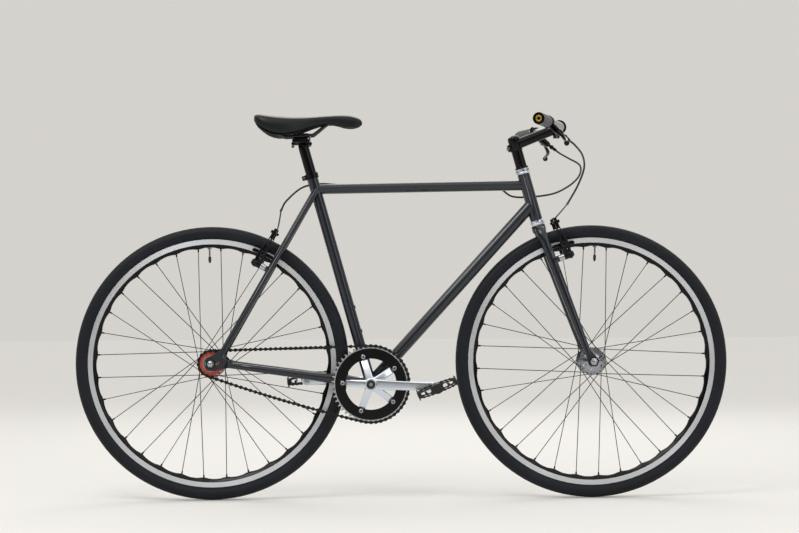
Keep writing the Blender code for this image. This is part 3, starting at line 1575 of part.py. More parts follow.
def crank_centre(side):
    """Where a pedal's spindle crosses its crank arm."""
    sign = 1 if side == RIGHT else -1
    eye_y = side * (CRANK_OUTER_FACE - CRANK_EYE_THICKNESS / 2)
    return BRACKET + in_side_view(CRANK_ANGLE, CRANK_LENGTH * sign) + ACROSS * eye_y


CRANK_EYE_THICKNESS = 0.013


def crank(side, name):
    """A forged arm with a round eye, a bored boss and, on the drive side, the spider."""
    sign = 1 if side == RIGHT else -1
    along = in_side_view(CRANK_ANGLE, sign)
    across = Vector((-along.z, 0, along.x))
    outward = ACROSS * side
    boss_low = CRANK_INNER_FACE if side == LEFT else CRANK_INNER_FACE + 0.002
    boss = turned(
        [
            (0, CRANK_OUTER_FACE),
            (CRANK_BOSS_DIAMETER / 2, CRANK_OUTER_FACE),
            (CRANK_BOSS_DIAMETER / 2, boss_low),
            (0, boss_low),
        ],
        BRACKET,
        outward,
        18,
    )
    rings = []
    eye = CRANK_EYE_DIAMETER / 2
    for distance, half_across, inner, outer in (
        (0.004, 0.0140, 0.050, 0.0694),
        (0.030, 0.0134, 0.0525, 0.0692),
        (0.080, 0.0118, 0.0550, 0.0690),
        (0.130, 0.0112, 0.0565, 0.0690),
        (CRANK_LENGTH - 0.0092, 0.0122, CRANK_OUTER_FACE - CRANK_EYE_THICKNESS, 0.0697),
    ):
        middle = BRACKET + along * distance + outward * (inner + outer) / 2
        half_thick = (outer - inner) / 2
        rings.append(oval(middle, across, outward, half_across, half_thick, 8, 0.6))
    arm = loft(rings)
    eye_at = crank_centre(side)
    half_eye = CRANK_EYE_THICKNESS / 2
    eye_ring = cylinder(eye_at - outward * half_eye, eye_at + outward * half_eye, eye, 16)
    join(boss, arm, eye_ring)
    if side == RIGHT:
        for angle in spider_angles():
            boss_and_arm = spider_arm(angle)
            join(boss, boss_and_arm)
    half = SPINDLE_SQUARE / 2 + GAP
    ahead = in_side_view(CRANK_ANGLE, 1)
    square = box(BRACKET + outward * CRANK_OUTER_FACE * 0.8, (half * 2, half * 2, 0.04), ACROSS, ahead)
    cap_space = cylinder(
        BRACKET + outward * (CRANK_OUTER_FACE - 0.0090),
        BRACKET + outward * (CRANK_OUTER_FACE + 0.01),
        0.0112,
        12,
    )
    eye_bore = cylinder(
        eye_at - outward * 0.02, eye_at + outward * 0.02, clear_of(PEDAL_SPINDLE_DIAMETER / 2, 12), 12
    )
    cut(boss, square, cap_space, eye_bore)
    finished(boss, name, "polished alloy", crankset)


def spider_arm(angle):
    """One arm of the spider, from the boss out to the chainring's inner side."""
    direction = in_side_view(angle, 1)
    across = Vector((-direction.z, 0, direction.x))
    ring_face = CHAIN_LINE - SPROCKET_THICKNESS / 2 - GAP
    tip_inner = ring_face - 0.0026
    rings = []
    for distance, half_across, inner, outer in (
        (0.006, 0.0095, 0.0475, 0.0600),
        (0.024, 0.0088, 0.0450, 0.0550),
        (RING_INNER_RADIUS - 0.003, 0.0090, tip_inner, ring_face),
        (BOLT_CIRCLE_RADIUS + 0.0065, 0.0075, tip_inner, ring_face),
    ):
        middle = BRACKET + direction * distance - ACROSS * (inner + outer) / 2
        half_thick = (outer - inner) / 2
        rings.append(
            [
                middle + across * half_across * a - ACROSS * half_thick * b
                for a, b in ((-1, -1), (1, -1), (1, 1), (-1, 1))
            ]
        )
    return loft(rings)


def pedal_spindle(side, name):
    centre = crank_centre(side)
    outward = ACROSS * side
    half_eye = CRANK_EYE_THICKNESS / 2
    radius = PEDAL_SPINDLE_DIAMETER / 2
    profile = [
        (0, half_eye + 0.013 + PEDAL_WIDTH - 0.008),
        (0.0060, half_eye + 0.013 + PEDAL_WIDTH - 0.008),
        (0.0060, half_eye + 0.005),
        (0.0095, half_eye + 0.005),
        (0.0095, half_eye + GAP),
        (radius, half_eye + GAP),
        (radius, -half_eye - 0.001),
        (0, -half_eye - 0.001),
    ]
    finished(turned(profile, centre, outward, 10), name, "chromed steel", crankset)


def pedal(side, name, parent):
    """A cage pedal: a toothed plate at each end of a bored body."""
    centre = crank_centre(side)
    outward = ACROSS * side
    sign = 1 if side == RIGHT else -1
    forward = in_side_view(PEDAL_TILT if side == RIGHT else PEDAL_TILT * 0.4, 1)
    upward = Vector((-forward.z, 0, forward.x))
    base = CRANK_EYE_THICKNESS / 2 + 0.013
    far = base + PEDAL_WIDTH
    body = turned(
        [
            (0, far - 0.004),
            (0.0125, far - 0.004),
            (0.0100, (base + far) / 2),
            (0.0130, base + 0.001),
            (0, base + 0.001),
        ],
        centre,
        outward,
        10,
    )
    half_length = PEDAL_LENGTH / 2
    half_height = PEDAL_HEIGHT / 2
    for end in (-1, 1):
        rail_at = centre + forward * end * (half_length - 0.0035) + outward * (base + far) / 2
        rail = box(rail_at, (PEDAL_WIDTH, 0.005, PEDAL_HEIGHT * 0.86), upward, outward)
        join(body, rail)
    for y in (base + 0.004, far - 0.004):
        outline = [
            (-half_length, half_height * 0.80),
            (-half_length, -half_height * 0.80),
            (-half_length * 0.45, -half_height),
            (half_length * 0.45, -half_height),
            (half_length, -half_height * 0.80),
            (half_length, half_height * 0.80),
            (half_length * 0.45, half_height),
            (-half_length * 0.45, half_height),
        ]
        matrix = frame_at(centre + outward * y, outward, forward)
        join(body, plate([outline], 0.006, matrix))
    window_length = half_length - 0.020
    for end in (-1, 1):
        middle = centre + forward * end * (0.0145 + window_length / 2) + outward * (base + far) / 2
        window = box(middle, (PEDAL_WIDTH + 0.02, window_length, PEDAL_HEIGHT * 0.42), upward, outward)
        cut(body, window)
    bore = cylinder(
        centre + outward * (base - 0.01), centre + outward * (far - 0.0070), 0.0068, 10
    )
    cut(body, bore)
    finished(body, name, "black plastic", parent)
    return sign


def drivetrain():
    bracket_cups()
    bb_spindle()
    chainring()
    cog_and_lockring()
    chain()
    for side, word in ((RIGHT, "right"), (LEFT, "left")):
        crank(side, "crank_" + word)
        pedal_spindle(side, "pedal_spindle_" + word)
        parent = joint("pedal_spin_" + word, crank_centre(side), ACROSS, crankset)
        pedal(side, "pedal_" + word, parent)


# Seatpost and saddle

RAIL_CLAMP = up_seat_tube(RAIL_CLAMP_UP_SEAT_TUBE)
RAIL_Z = RAIL_CLAMP.z + 0.006


def seatpost():
    radius = SEATPOST_DIAMETER / 2
    post = solid(rod([SEAT_TOP - SEAT_UP * SEATPOST_DEPTH, RAIL_CLAMP - SEAT_UP * 0.010], radius, 16))
    level = Vector((1, 0, 0.06)).normalized()
    half_cradle = RAIL_SPREAD / 2 + 0.007
    lower = box(RAIL_CLAMP + UP * -0.004, (0.044, half_cradle * 2, 0.013), UP, level)
    upper = box(RAIL_CLAMP + UP * 0.0105, (0.034, half_cradle * 2, 0.006), UP, level)
    block = box(RAIL_CLAMP + UP * 0.004, (0.034, RAIL_SPREAD - RAIL_DIAMETER - 0.002, 0.016), UP, level)
    ear = box(RAIL_CLAMP - UP * 0.010 + level * 0.001, (0.052, 0.016, 0.007), UP, level)
    bolts = [
        cylinder(
            RAIL_CLAMP + level * at - UP * 0.019, RAIL_CLAMP + level * at + UP * 0.010, 0.0030, 8
        )
        for at in (-0.021, 0.021)
    ]
    join(post, lower, upper, block, ear, *bolts)
    for side in (RIGHT, LEFT):
        points = [point.copy() for point in rail_points(side)]
        cut(post, solid(rod(points, RAIL_DIAMETER / 2 + 0.0006, 8)))
    finished(post, "seatpost", "black anodised alloy", seat_height)


def rail_points(side):
    """A saddle rail: along the clamp, then up to the shell at both ends."""
    y = side * RAIL_SPREAD / 2
    route = (
        (-0.079, 0.0210, y * 1.25),
        (-0.066, 0.0120, y * 1.22),
        (-0.045, 0.0015, y * 1.05),
        (-0.030, 0.0, y),
        (0.024, 0.0035, y),
        (0.036, 0.0080, y * 0.92),
        (0.062, 0.0260, y * 0.55),
        (0.078, 0.0340, y * 0.40),
    )
    return [Vector((RAIL_CLAMP.x + x, side_y, RAIL_Z + z)) for x, z, side_y in route]


def rail_bars():
    """The cross bars at the nose and at the tail, as pairs of end points."""
    bars = []
    for end, ahead in ((-1, -0.002), (0, 0.002)):
        right, left = (rail_points(side)[end] + Vector((ahead, 0, 0)) for side in (RIGHT, LEFT))
        inset = (left - right).normalized() * 0.0015
        bars.append([right + inset, left - inset])
    return bars


def saddle_rails():
    """Both rails, held together by the nose bar and the rear bar that the shell carries."""
    right = solid(rod(rail_points(RIGHT), RAIL_DIAMETER / 2, 6))
    left = rod(rail_points(LEFT), RAIL_DIAMETER / 2, 6)
    bars = [rod(bar, RAIL_DIAMETER / 2 * 0.9, 6) for bar in rail_bars()]
    join(right, left, *bars)
    finished(right, "saddle_rails", "silver paint", seat_height)


def saddle():
    """A padded saddle: a crowned top with drawn-in sides, wide at the back, narrow in front."""
    nose_x = RAIL_CLAMP.x + SADDLE_NOSE_AHEAD_OF_CLAMP
    top_z = RAIL_CLAMP.z + SADDLE_TOP_ABOVE_CLAMP
    half = SADDLE_WIDTH / 2
    nose_half = SADDLE_NOSE_WIDTH / 2
    # Share of the length from the nose, half width, top below the highest point, skirt depth
    stations = (
        (0.000, nose_half * 0.42, 0.0240, 0.010),
        (0.030, nose_half * 0.80, 0.0120, 0.022),
        (0.090, nose_half * 0.98, 0.0060, 0.0315),
        (0.170, nose_half * 1.00, 0.0036, 0.0320),
        (0.270, nose_half * 1.12, 0.0040, 0.0245),
        (0.400, nose_half * 1.48, 0.0062, 0.0260),
        (0.530, half * 0.62, 0.0082, 0.0330),
        (0.660, half * 0.84, 0.0078, 0.0430),
        (0.780, half * 0.97, 0.0055, 0.0520),
        (0.880, half * 1.00, 0.0025, 0.0480),
        (0.960, half * 0.90, 0.0000, 0.0330),
        (1.000, half * 0.66, 0.0045, 0.0180),
    )
    bm = bmesh.new()
    rows = []
    for share, half_width, below, skirt in stations:
        x = nose_x - SADDLE_LENGTH * share
        z = top_z - below
        crown = 0.0035 + half_width * 0.07
        # The shell is hollow underneath, except at the tip and at the tail
        hollow = 1.0 if share in (0, 1) else 0.42
        section = (
            (0.0, 0.0),
            (0.60, -crown * 0.60),
            (0.96, -skirt * 0.30),
            (1.0, -skirt * 0.85),
            (0.82, -skirt),
            (0.64, -skirt * (hollow + 0.04)),
            (0.0, -skirt * (hollow + 0.08)),
        )
        right = [bm.verts.new((x, -half_width * w, z + d)) for w, d in section]
        left = [bm.verts.new((x, half_width * w, z + d)) for w, d in section[1:-1]]
        rows.append(right + list(reversed(left)))
    count = len(rows[0])
    for row, next_row in zip(rows, rows[1:]):
        for index in range(count):
            following = (index + 1) % count
            bm.faces.new((row[index], row[following], next_row[following], next_row[index]))
    for row in (rows[0], rows[-1]):
        middle = count // 2
        for index in range(middle):
            corners = (row[index], row[index + 1], row[(count - index - 1) % count], row[(count - index) % count])
            unique = list(dict.fromkeys(corners))
            if len(unique) > 2:
                bm.faces.new(unique)
    bmesh.ops.recalc_face_normals(bm, faces=bm.faces)
    cover = mesh_from("saddle", bm, Matrix.Identity(4))
    smooth = cover.modifiers.new("Smooth", "SUBSURF")
    smooth.levels = 1
    smooth.render_levels = 1
    finished(cover, "saddle", "saddle cover", seat_height)


# Brake cables

def cables():
    """The two brake cables: black housing, a thin bent pipe, then bare wire across the arms."""
    front_start, front_run = cable_adjuster(RIGHT)
    rear_start, rear_run = cable_adjuster(LEFT)
    cable = CABLE_DIAMETER / 2
    noodle = NOODLE_DIAMETER / 2
    wire = WIRE_DIAMETER / 2
    front_pivot = brake_pivot(FRONT_PIVOT_ROOT, BLADE_AHEAD, FRONT_BOSS_LENGTH, RIGHT)
    arm_top = front_pivot - BLADE_DOWN * (BRAKE_ARM_LENGTH + 0.009)
    route = [
        front_start + front_run * 0.0306,
        front_start + front_run * 0.050,
        BAR_CENTRE + Vector((0.0539, -0.120, -0.0703)),
        BAR_CENTRE + Vector((0.0574, -0.070, -0.1083)),
        arm_top + Vector((0.0587, -0.008, 0.0834)),
        arm_top + Vector((0.0332, -0.006, 0.0384)),
    ]
    path = smooth_path([Vector(p) for p in route], 3)
    radii = [cable] * len(path)
    bend = [
        arm_top + Vector((0.0187, -0.007, 0.0154)),
        arm_top + Vector((0.006, -0.004, 0.012)),
        arm_top + Vector((0.000, 0.000, 0.004)),
        arm_top + Vector((-0.001, 0.010, 0.000)),
    ]
    noodle_path = smooth_path([path[-1]] + bend, 2)[1:]
    path += noodle_path
    radii += [noodle] * len(noodle_path)
    far = Vector((arm_top.x - 0.001, 0.030, arm_top.z))
    path += [noodle_path[-1] + ACROSS * 0.0005, far]
    radii += [wire, wire]
    made = rod(path, cable, 6, radii)
    finished(made, "front_brake_housing", "black plastic", steering)

    loop_end = up_steering(HEAD_TUBE_LENGTH * 0.52) + Vector((-0.038, 0.0245, 0))
    route = [
        rear_start + rear_run * 0.0306,
        rear_start + rear_run * 0.050,
        BAR_CENTRE + Vector((0.0474, 0.120, -0.0803)),
        BAR_CENTRE + Vector((0.0539, 0.086, -0.1083)),
        loop_end + Vector((0.1385, 0.0315, 0.0254)),
        loop_end + Vector((0.0885, 0.0115, 0.0054)),
        loop_end,
    ]
    path = smooth_path([Vector(p) for p in route], 2)
    made = rod(path, cable, 6)
    finished(made, "rear_brake_loop", "black plastic")

    run = (TOP_TUBE_START - TOP_TUBE_END).normalized()
    beside = TOP_TUBE_DIAMETER / 2 + cable + 0.0008
    rear_pivot = brake_pivot(REAR_PIVOT_ROOT, STAY_BACK, REAR_BOSS_LENGTH, LEFT)
    arm_top = rear_pivot + STAY_UP * (BRAKE_ARM_LENGTH + 0.009)
    route = [
        loop_end + Vector((-0.0024, 0, 0)),
        TOP_TUBE_END + run * 0.075 + ACROSS * beside - UP * 0.001,
        TOP_TUBE_END + run * 0.130 + ACROSS * beside,
        TOP_TUBE_END + run * 0.300 + ACROSS * beside,
        TOP_TUBE_END + run * 0.400 + ACROSS * (beside * 0.96) + UP * 0.004,
        TOP_TUBE_START - run * 0.060 + ACROSS * (beside * 0.80) + UP * 0.011,
        TOP_TUBE_START - run * 0.012 + ACROSS * (beside + 0.0040) + UP * 0.0150,
        TOP_TUBE_START + run * 0.035 + ACROSS * (beside + 0.0020) + UP * 0.0060,
        TOP_TUBE_START + Vector((-0.075, 0.020, -0.028)),
        arm_top + Vector((0.010, 0.002, 0.052)),
    ]
    path = smooth_path([Vector(p) for p in route], 2)
    radii = [cable] * len(path)
    bend = [
        arm_top + Vector((0.005, 0.003, 0.022)),
        arm_top + Vector((0.001, 0.000, 0.005)),
        arm_top + Vector((0.000, -0.010, 0.000)),
    ]
    noodle_path = smooth_path([path[-1]] + bend, 2)[1:]
    path += noodle_path
    radii += [noodle] * len(noodle_path)
    far = Vector((arm_top.x, -0.030, arm_top.z))
    path += [noodle_path[-1] - ACROSS * 0.0005, far]
    radii += [wire, wire]
    made = rod(path, cable, 6, radii)
    finished(made, "rear_brake_housing", "black plastic")


# The whole bicycle

bracket_shell()
head_tube()
top_tube()
down_tube()
seat_tube()
for stay_side, stay_word in ((RIGHT, "right"), (LEFT, "left")):
    seatstay(stay_side, "seatstay_" + stay_word)
    chainstay(stay_side, "chainstay_" + stay_word)
    fork_blade(stay_side, "fork_blade_" + stay_word)
    grip(stay_side, "grip_" + stay_word)
    lever_bracket(stay_side, "lever_bracket_" + stay_word)
    bar_at, bar_along, lever_reach, lever_pin = lever_frame(stay_side)
    lever_pivot = bar_at + lever_reach * LEVER_PIVOT_REACH + bar_along * LEVER_PIVOT_OUT
    lever_joint = joint("lever_hinge_" + stay_word, lever_pivot, lever_pin, steering)
    brake_lever(stay_side, "lever_" + stay_word, lever_joint)
seatstay_bridge()
seat_clamp()
headset()
fork_steerer()
stem_spacers()
stem()
handlebar()
brakes()
wheels()
drivetrain()
seatpost()
saddle_rails()
saddle()
cables()
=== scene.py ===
# %% [markdown]
# # A fixed gear bicycle
# A fixed gear bicycle has one sprocket on the rear hub and no freewheel, so the pedals turn
# whenever the wheel does. The solid model gives every size and place. This lesson puts the fine
# shapes and the real finishes on it: tread, spokes, chain links, polished cranks and a padded saddle.
# Places are in metres, and the sections and stations of a piece are in millimetres. X points
# forward, -Y is the drive side and Z is up.

# %% Load the solid model
import json
import math

import bpy
from mathutils import Matrix, Vector

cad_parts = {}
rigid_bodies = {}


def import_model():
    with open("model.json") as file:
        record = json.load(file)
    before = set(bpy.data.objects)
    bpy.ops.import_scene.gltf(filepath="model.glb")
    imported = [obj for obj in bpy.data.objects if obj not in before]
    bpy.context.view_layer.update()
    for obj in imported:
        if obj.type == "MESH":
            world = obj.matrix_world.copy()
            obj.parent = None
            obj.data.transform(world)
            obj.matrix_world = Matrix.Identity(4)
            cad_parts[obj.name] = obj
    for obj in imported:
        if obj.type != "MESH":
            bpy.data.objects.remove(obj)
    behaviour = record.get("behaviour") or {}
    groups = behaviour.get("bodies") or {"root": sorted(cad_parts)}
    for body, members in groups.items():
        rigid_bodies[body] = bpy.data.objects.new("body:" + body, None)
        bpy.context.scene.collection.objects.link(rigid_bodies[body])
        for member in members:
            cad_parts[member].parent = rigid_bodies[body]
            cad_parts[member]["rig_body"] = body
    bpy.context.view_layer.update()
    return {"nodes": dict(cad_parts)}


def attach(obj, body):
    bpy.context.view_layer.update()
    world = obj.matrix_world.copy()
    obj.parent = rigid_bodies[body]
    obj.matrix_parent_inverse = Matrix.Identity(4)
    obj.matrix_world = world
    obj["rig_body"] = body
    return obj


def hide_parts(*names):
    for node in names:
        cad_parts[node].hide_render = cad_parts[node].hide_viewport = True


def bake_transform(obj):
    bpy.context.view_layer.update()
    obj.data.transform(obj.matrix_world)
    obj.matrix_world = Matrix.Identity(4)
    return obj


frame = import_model()
scene = bpy.context.scene
print("nodes in the solid model:", len(frame["nodes"]))

# %% [markdown]
# ## The camera
# The bicycle was seen square on from its drive side, from about five metres away, with a longer
# lens, so the two wheels stay round. The camera stands a little behind the middle and is tilted by
# a third of a degree, which makes the ground rise slightly to the right.

# %% Camera
CAMERA_AIM = Vector((-0.0054, 0, 0.5924))
CAMERA_ROLL = math.radians(-0.31)
LENS_MM = 93.04
bpy.ops.object.camera_add(location=(-0.115, -5.285, 0.515))
camera = bpy.context.object
camera.name = "camera"
turned_to = (CAMERA_AIM - camera.location).to_track_quat("-Z", "Y").to_matrix().to_4x4()
lean = Matrix.Rotation(CAMERA_ROLL, 4, "Z")
camera.matrix_world = Matrix.Translation(camera.location) @ turned_to @ lean
camera.data.sensor_width = 36
camera.data.lens = LENS_MM
camera.data.clip_end = 60
scene.camera = camera
print("camera lens in millimetres:", round(camera.data.lens, 1))

# %% [markdown]
# ## Colours and nodes
# Colours are written as sRGB hex values, as a paint chart gives them, and one function turns them
# into the linear values that Blender works in. A second small function adds a node to a material or
# to the sky, so that each finish below reads as a short list of what it is made of.

# %% Two helpers for every finish
def linear(hex_value):
    """The linear colour of an sRGB hex value."""
    channels = [int(hex_value[i : i + 2], 16) / 255 for i in (1, 3, 5)]
    return (*[c / 12.92 if c <= 0.04045 else ((c + 0.055) / 1.055) ** 2.4 for c in channels], 1)


def add_node(tree, kind, settings=()):
    """Adds a node and returns its outputs. Options come first in the settings. Of the inputs, one
    whose setting is another node's output is linked, and any other is set."""
    node = tree.nodes.new("ShaderNode" + kind)
    for key, value in dict(settings).items():
        if isinstance(value, bpy.types.NodeSocket):
            tree.links.new(value, node.inputs[key])
        elif isinstance(key, str) and key not in node.inputs:
            setattr(node, key, value)
        else:
            node.inputs[key].default_value = value
    return node.outputs


# %% [markdown]
# ## A finish
# Most real surfaces are one colour only from far away. Paint has orange peel, polished metal has
# fine marks along the way it was rubbed, rubber has dust. Each finish here starts from two near
# colours, a roughness range and a bump, all driven by noise at a real size in millimetres. A grain
# finer than a pixel is drawn coarser, because otherwise it would not show at all.

# %% The start of a finish
finishes, slots = {}, {}


def new_finish(
    name, slot, colours, roughness, grain, bump, metallic=0.0, stretch=(1, 1, 1), **sockets
):
    """A finish, with the name of its slot kept in a table: two colours, a roughness range, a grain size
    and a bump height in millimetres, and values for sockets of the shader."""
    material = bpy.data.materials.new(name)
    material.use_nodes = True
    tree = material.node_tree
    shader = tree.nodes["Principled BSDF"].inputs
    for key, value in {"Metallic": metallic, **sockets}.items():
        shader[key.replace("_", " ")].default_value = value
    place = add_node(tree, "TexCoord")["Object"]
    scaled = add_node(tree, "Mapping", {"Scale": stretch, "Vector": place})[0]
    fine = {"Scale": 1000 / grain, "Detail": 3.0, "Roughness": 0.6, "Vector": scaled}
    noise = add_node(tree, "TexNoise", fine)[0]
    cloud = add_node(tree, "TexNoise", {"Scale": 9.0, "Detail": 2.0, "Vector": place})[0]
    both = add_node(tree, "Math", {"operation": "MULTIPLY", 0: noise, 1: cloud})[0]
    tint = add_node(tree, "MapRange", {"From Min": 0.12, "From Max": 0.42, "Value": both})[0]
    mixed = {"data_type": "RGBA", 0: tint, 6: linear(colours[0]), 7: linear(colours[1])}
    least, most = roughness
    rough = {"From Min": 0.3, "From Max": 0.7, "To Min": least, "To Max": most, "Value": noise}
    relief = add_node(tree, "Bump", {"Strength": 0.6, "Distance": bump / 1000, "Height": noise})[0]
    tree.links.new(add_node(tree, "Mix", mixed)[2], shader["Base Color"])
    tree.links.new(add_node(tree, "MapRange", rough)[0], shader["Roughness"])
    tree.links.new(relief, shader["Normal"])
    finishes[name] = material
    slots[name] = slot
    return tree, shader, place, relief


# %% [markdown]
# ## The painted and the metal finishes
# The frame is steel tube, sprayed with a charcoal base coat and a clear lacquer, then baked. The
# lacquer is why it has a sharp reflection over a softer one. Aluminium pieces are either polished,
# turned on a lathe, or anodised black, which is a grown oxide layer that stays a little matt.

# %% Paint, aluminium and steel
new_finish(
    "lacquered charcoal paint", "frame_paint", ("#151a22", "#1b212b"), (0.26, 0.34), 0.9, 0.004,
    Specular_IOR_Level=0.2, Coat_Weight=0.7, Coat_Roughness=0.05,
)
new_finish(
    "black anodised aluminium", "black_alloy", ("#06070a", "#0b0c0f"), (0.15, 0.20), 0.6, 0.002,
    Specular_IOR_Level=0.2,
)
for row in (
    ("silver stoved paint", "silver_paint", ("#8f9193", "#a8aaad"), (0.32, 0.42), 0.8, 0.010, 0.55),
    (
        "polished aluminium", "polished_alloy", ("#d3dbe6", "#dde4ee"), (0.24, 0.26), 1.6, 0.0005, 1.0,
        (0.25, 1, 1),
    ),
    ("turned aluminium", "polished_alloy", ("#b4b6ba", "#c8cace"), (0.22, 0.26), 1.2, 0.001, 1.0),
    ("machined brake track", "rim_alloy", ("#d0d2d8", "#e0e2e7"), (0.40, 0.46), 1.0, 0.001, 0.8),
    ("spun aluminium", "polished_alloy", ("#9599a0", "#a9adb4"), (0.18, 0.22), 1.0, 0.0005, 1.0),
    ("zinc plated steel", "plated_steel", ("#9c9ea3", "#b8babf"), (0.20, 0.28), 0.7, 0.003, 1.0),
    # Near-black steel: the own colour of the chain and washers, and painted shade on the spokes and in
    # the bolt sockets.
    ("black chain steel", "chain_steel", ("#09090a", "#131212"), (0.28, 0.42), 2.0, 0.010, 0.3),
    ("red anodised cog", "red_steel", ("#b9442e", "#cd5d45"), (0.34, 0.46), 1.0, 0.006, 0.3),
    ("blued steel lockring", "plated_steel", ("#8d929b", "#a9adb5"), (0.26, 0.40), 0.8, 0.015, 0.9),
    ("gold anodised plug", "plated_steel", ("#c79a2e", "#e0b64a"), (0.24, 0.34), 1.0, 0.010, 0.85),
    ("stainless cable wire", "plated_steel", ("#55575b", "#74767b"), (0.25, 0.40), 0.6, 0.030, 1.0),
    ("black steel rail", "plated_steel", ("#26282b", "#34363a"), (0.22, 0.32), 0.8, 0.004, 0.8),
):
    new_finish(*row)

# %% Rings left by the lathe
for name, strength in (("machined brake track", 0.75), ("spun aluminium", 0.85)):
    tree = finishes[name].node_tree
    shader = tree.nodes["Principled BSDF"].inputs
    shader["Anisotropic"].default_value = strength
    shader["Anisotropic Rotation"].default_value = 0.25
    tangent = add_node(tree, "Tangent", {"direction_type": "RADIAL", "axis": "Y"})[0]
    tree.links.new(tangent, shader["Tangent"])

# %% [markdown]
# ## Rubber, plastic and the saddle cover
# Moulded black parts are not pure black: they are a very dark grey with a fine matt skin. The
# saddle cover is a synthetic leather whose grain is about a millimetre across.

# %% Rubber and plastic
for row in (
    ("moulded black plastic", "black_plastic", ("#0b0c0d", "#121315"), (0.40, 0.52), 0.7, 0.010),
    ("cable housing plastic", "black_plastic", ("#0c0d0e", "#151618"), (0.30, 0.42), 0.9, 0.008),
    ("grey rubber grip", "grip_rubber", ("#55565a", "#626368"), (0.72, 0.86), 0.8, 0.060),
    ("black brake rubber", "black_plastic", ("#0d0e0f", "#151617"), (0.66, 0.80), 1.2, 0.030),
):
    new_finish(*row)
new_finish(
    "bonded leatherette", "saddle_cover", ("#0b0d10", "#121519"), (0.34, 0.46), 1.1, 0.035,
    Specular_IOR_Level=0.3,
)
print("finishes so far:", len(finishes))

# %% [markdown]
# ## Tyre rubber with a fine file tread
# A road tyre is moulded in a steel ring, which leaves a fine pattern of slanted grooves on the
# tread and a smooth sidewall. The pattern runs round the wheel, so it is drawn from the angle
# round the axle. The real grooves are about 2 mm apart, and here 4 mm, so that they show.

# %% Tyre rubber
AXLES = {"front": Vector((0.4845, 0, 0.348)), "rear": Vector((-0.4845, 0, 0.348))}
WHEEL_RADIUS = 0.348
GROOVES = round(math.tau * WHEEL_RADIUS / 0.004)
GROOVE_SLANT = 900.0
TREAD_EDGE, SIDEWALL_EDGE = 0.0135, 0.0150


def tyre_rubber(name, axle):
    """Matt black rubber, a little dusty in tone, with slanted grooves round the axle on the tread."""
    colours = ("#0f1218", "#191c23")
    tree, shader, place, relief = new_finish(
        name, "tyre", colours, (0.52, 0.70), 2.5, 0.030, Specular_IOR_Level=0.25
    )
    centred = add_node(tree, "VectorMath", {"operation": "SUBTRACT", 0: place, 1: axle})[0]
    split = add_node(tree, "SeparateXYZ", {0: centred})
    angle = add_node(tree, "Math", {"operation": "ARCTAN2", 0: split["X"], 1: split["Z"]})[0]
    around = add_node(tree, "Math", {"operation": "MULTIPLY", 0: angle, 1: GROOVES})[0]
    width = add_node(tree, "Math", {"operation": "ABSOLUTE", 0: split["Y"]})[0]
    slanted = {"operation": "MULTIPLY_ADD", 0: width, 1: GROOVE_SLANT, 2: around}
    wave = add_node(tree, "Math", {"operation": "SINE", 0: add_node(tree, "Math", slanted)[0]})[0]
    shoulder = {"From Min": TREAD_EDGE, "From Max": SIDEWALL_EDGE, "To Min": 1.0, "To Max": 0.0}
    tread = add_node(tree, "MapRange", {**shoulder, "Value": width})[0]
    height = add_node(tree, "Math", {"operation": "MULTIPLY", 0: wave, 1: tread})[0]
    grooved = {"Strength": 0.8, "Distance": 0.0006, "Height": height, "Normal": relief}
    tree.links.new(add_node(tree, "Bump", grooved)[0], shader["Normal"])


for word, axle in AXLES.items():
    tyre_rubber(word + " tyre rubber", axle)
print("grooves round a tyre:", GROOVES)

# %% [markdown]
# ## The studio
# A pale floor and a pale sky light the bicycle softly, with one large lamp above and to the left
# and a weaker one in front. The sky is bright above and behind the bicycle and dims towards the
# camera, as a room does. Round tubes then show a bright line above and a dark side, which is what
# makes dark paint look deep. The camera sees the wall at its full pale colour.

# %% Floor
bpy.ops.mesh.primitive_plane_add(size=40, location=(0, 0, -0.0006))
floor = bpy.context.object
floor.name = "floor"
bpy.ops.object.mode_set(mode="EDIT")
bpy.ops.mesh.select_all(action="SELECT")
bpy.ops.mesh.subdivide(number_cuts=4)
bpy.ops.object.mode_set(mode="OBJECT")
floor_paint = bpy.data.materials.new("pale studio floor")
floor_paint.use_nodes = True
floor_shader = floor_paint.node_tree.nodes["Principled BSDF"].inputs
FLOOR_COLOUR = linear("#e6e4e0")
floor_shader["Base Color"].default_value = FLOOR_COLOUR
floor_shader["Roughness"].default_value = 0.9
floor.data.materials.append(floor_paint)

# %% Sky
SKY_COLOUR = linear("#f4f3f1")
DIM_LIGHT, DIM_SHINE, ROOF_SHINE = 0.35, 0.10, 2.0
FLOOR_SHARE = DIM_LIGHT + (1 - DIM_LIGHT) * 0.89
FAR_FLOOR = (*[floor * light * FLOOR_SHARE for floor, light in zip(FLOOR_COLOUR, SKY_COLOUR)][:3], 1)
scene.world = bpy.data.worlds.new("pale sky")
scene.world.use_nodes = True
sky = scene.world.node_tree
sky.nodes.clear()
rays = add_node(sky, "LightPath")
in_camera = rays["Is Camera Ray"]
seen = {"operation": "MAXIMUM", 0: in_camera, 1: rays["Is Glossy Ray"]}
seen = {"operation": "MAXIMUM", 0: add_node(sky, "Math", seen)[0], 1: rays["Is Transmission Ray"]}
axes = add_node(sky, "SeparateXYZ", {0: add_node(sky, "TexCoord")["Generated"]})
above = {"interpolation_type": "SMOOTHSTEP", "From Min": 0.12, "From Max": 0.70, "Value": axes["Z"]}
above = add_node(sky, "MapRange", above)[0]
behind = {"interpolation_type": "SMOOTHSTEP", "From Min": -0.15, "From Max": 0.50, "Value": axes["Y"]}
behind = add_node(sky, "MapRange", behind)[0]
bright = add_node(sky, "Math", {"operation": "MAXIMUM", 0: above, 1: behind})[0]
soft_level = add_node(sky, "MapRange", {"To Min": DIM_LIGHT, "Value": bright})[0]
wall_shine = add_node(sky, "MapRange", {"To Min": DIM_SHINE, "Value": behind})[0]
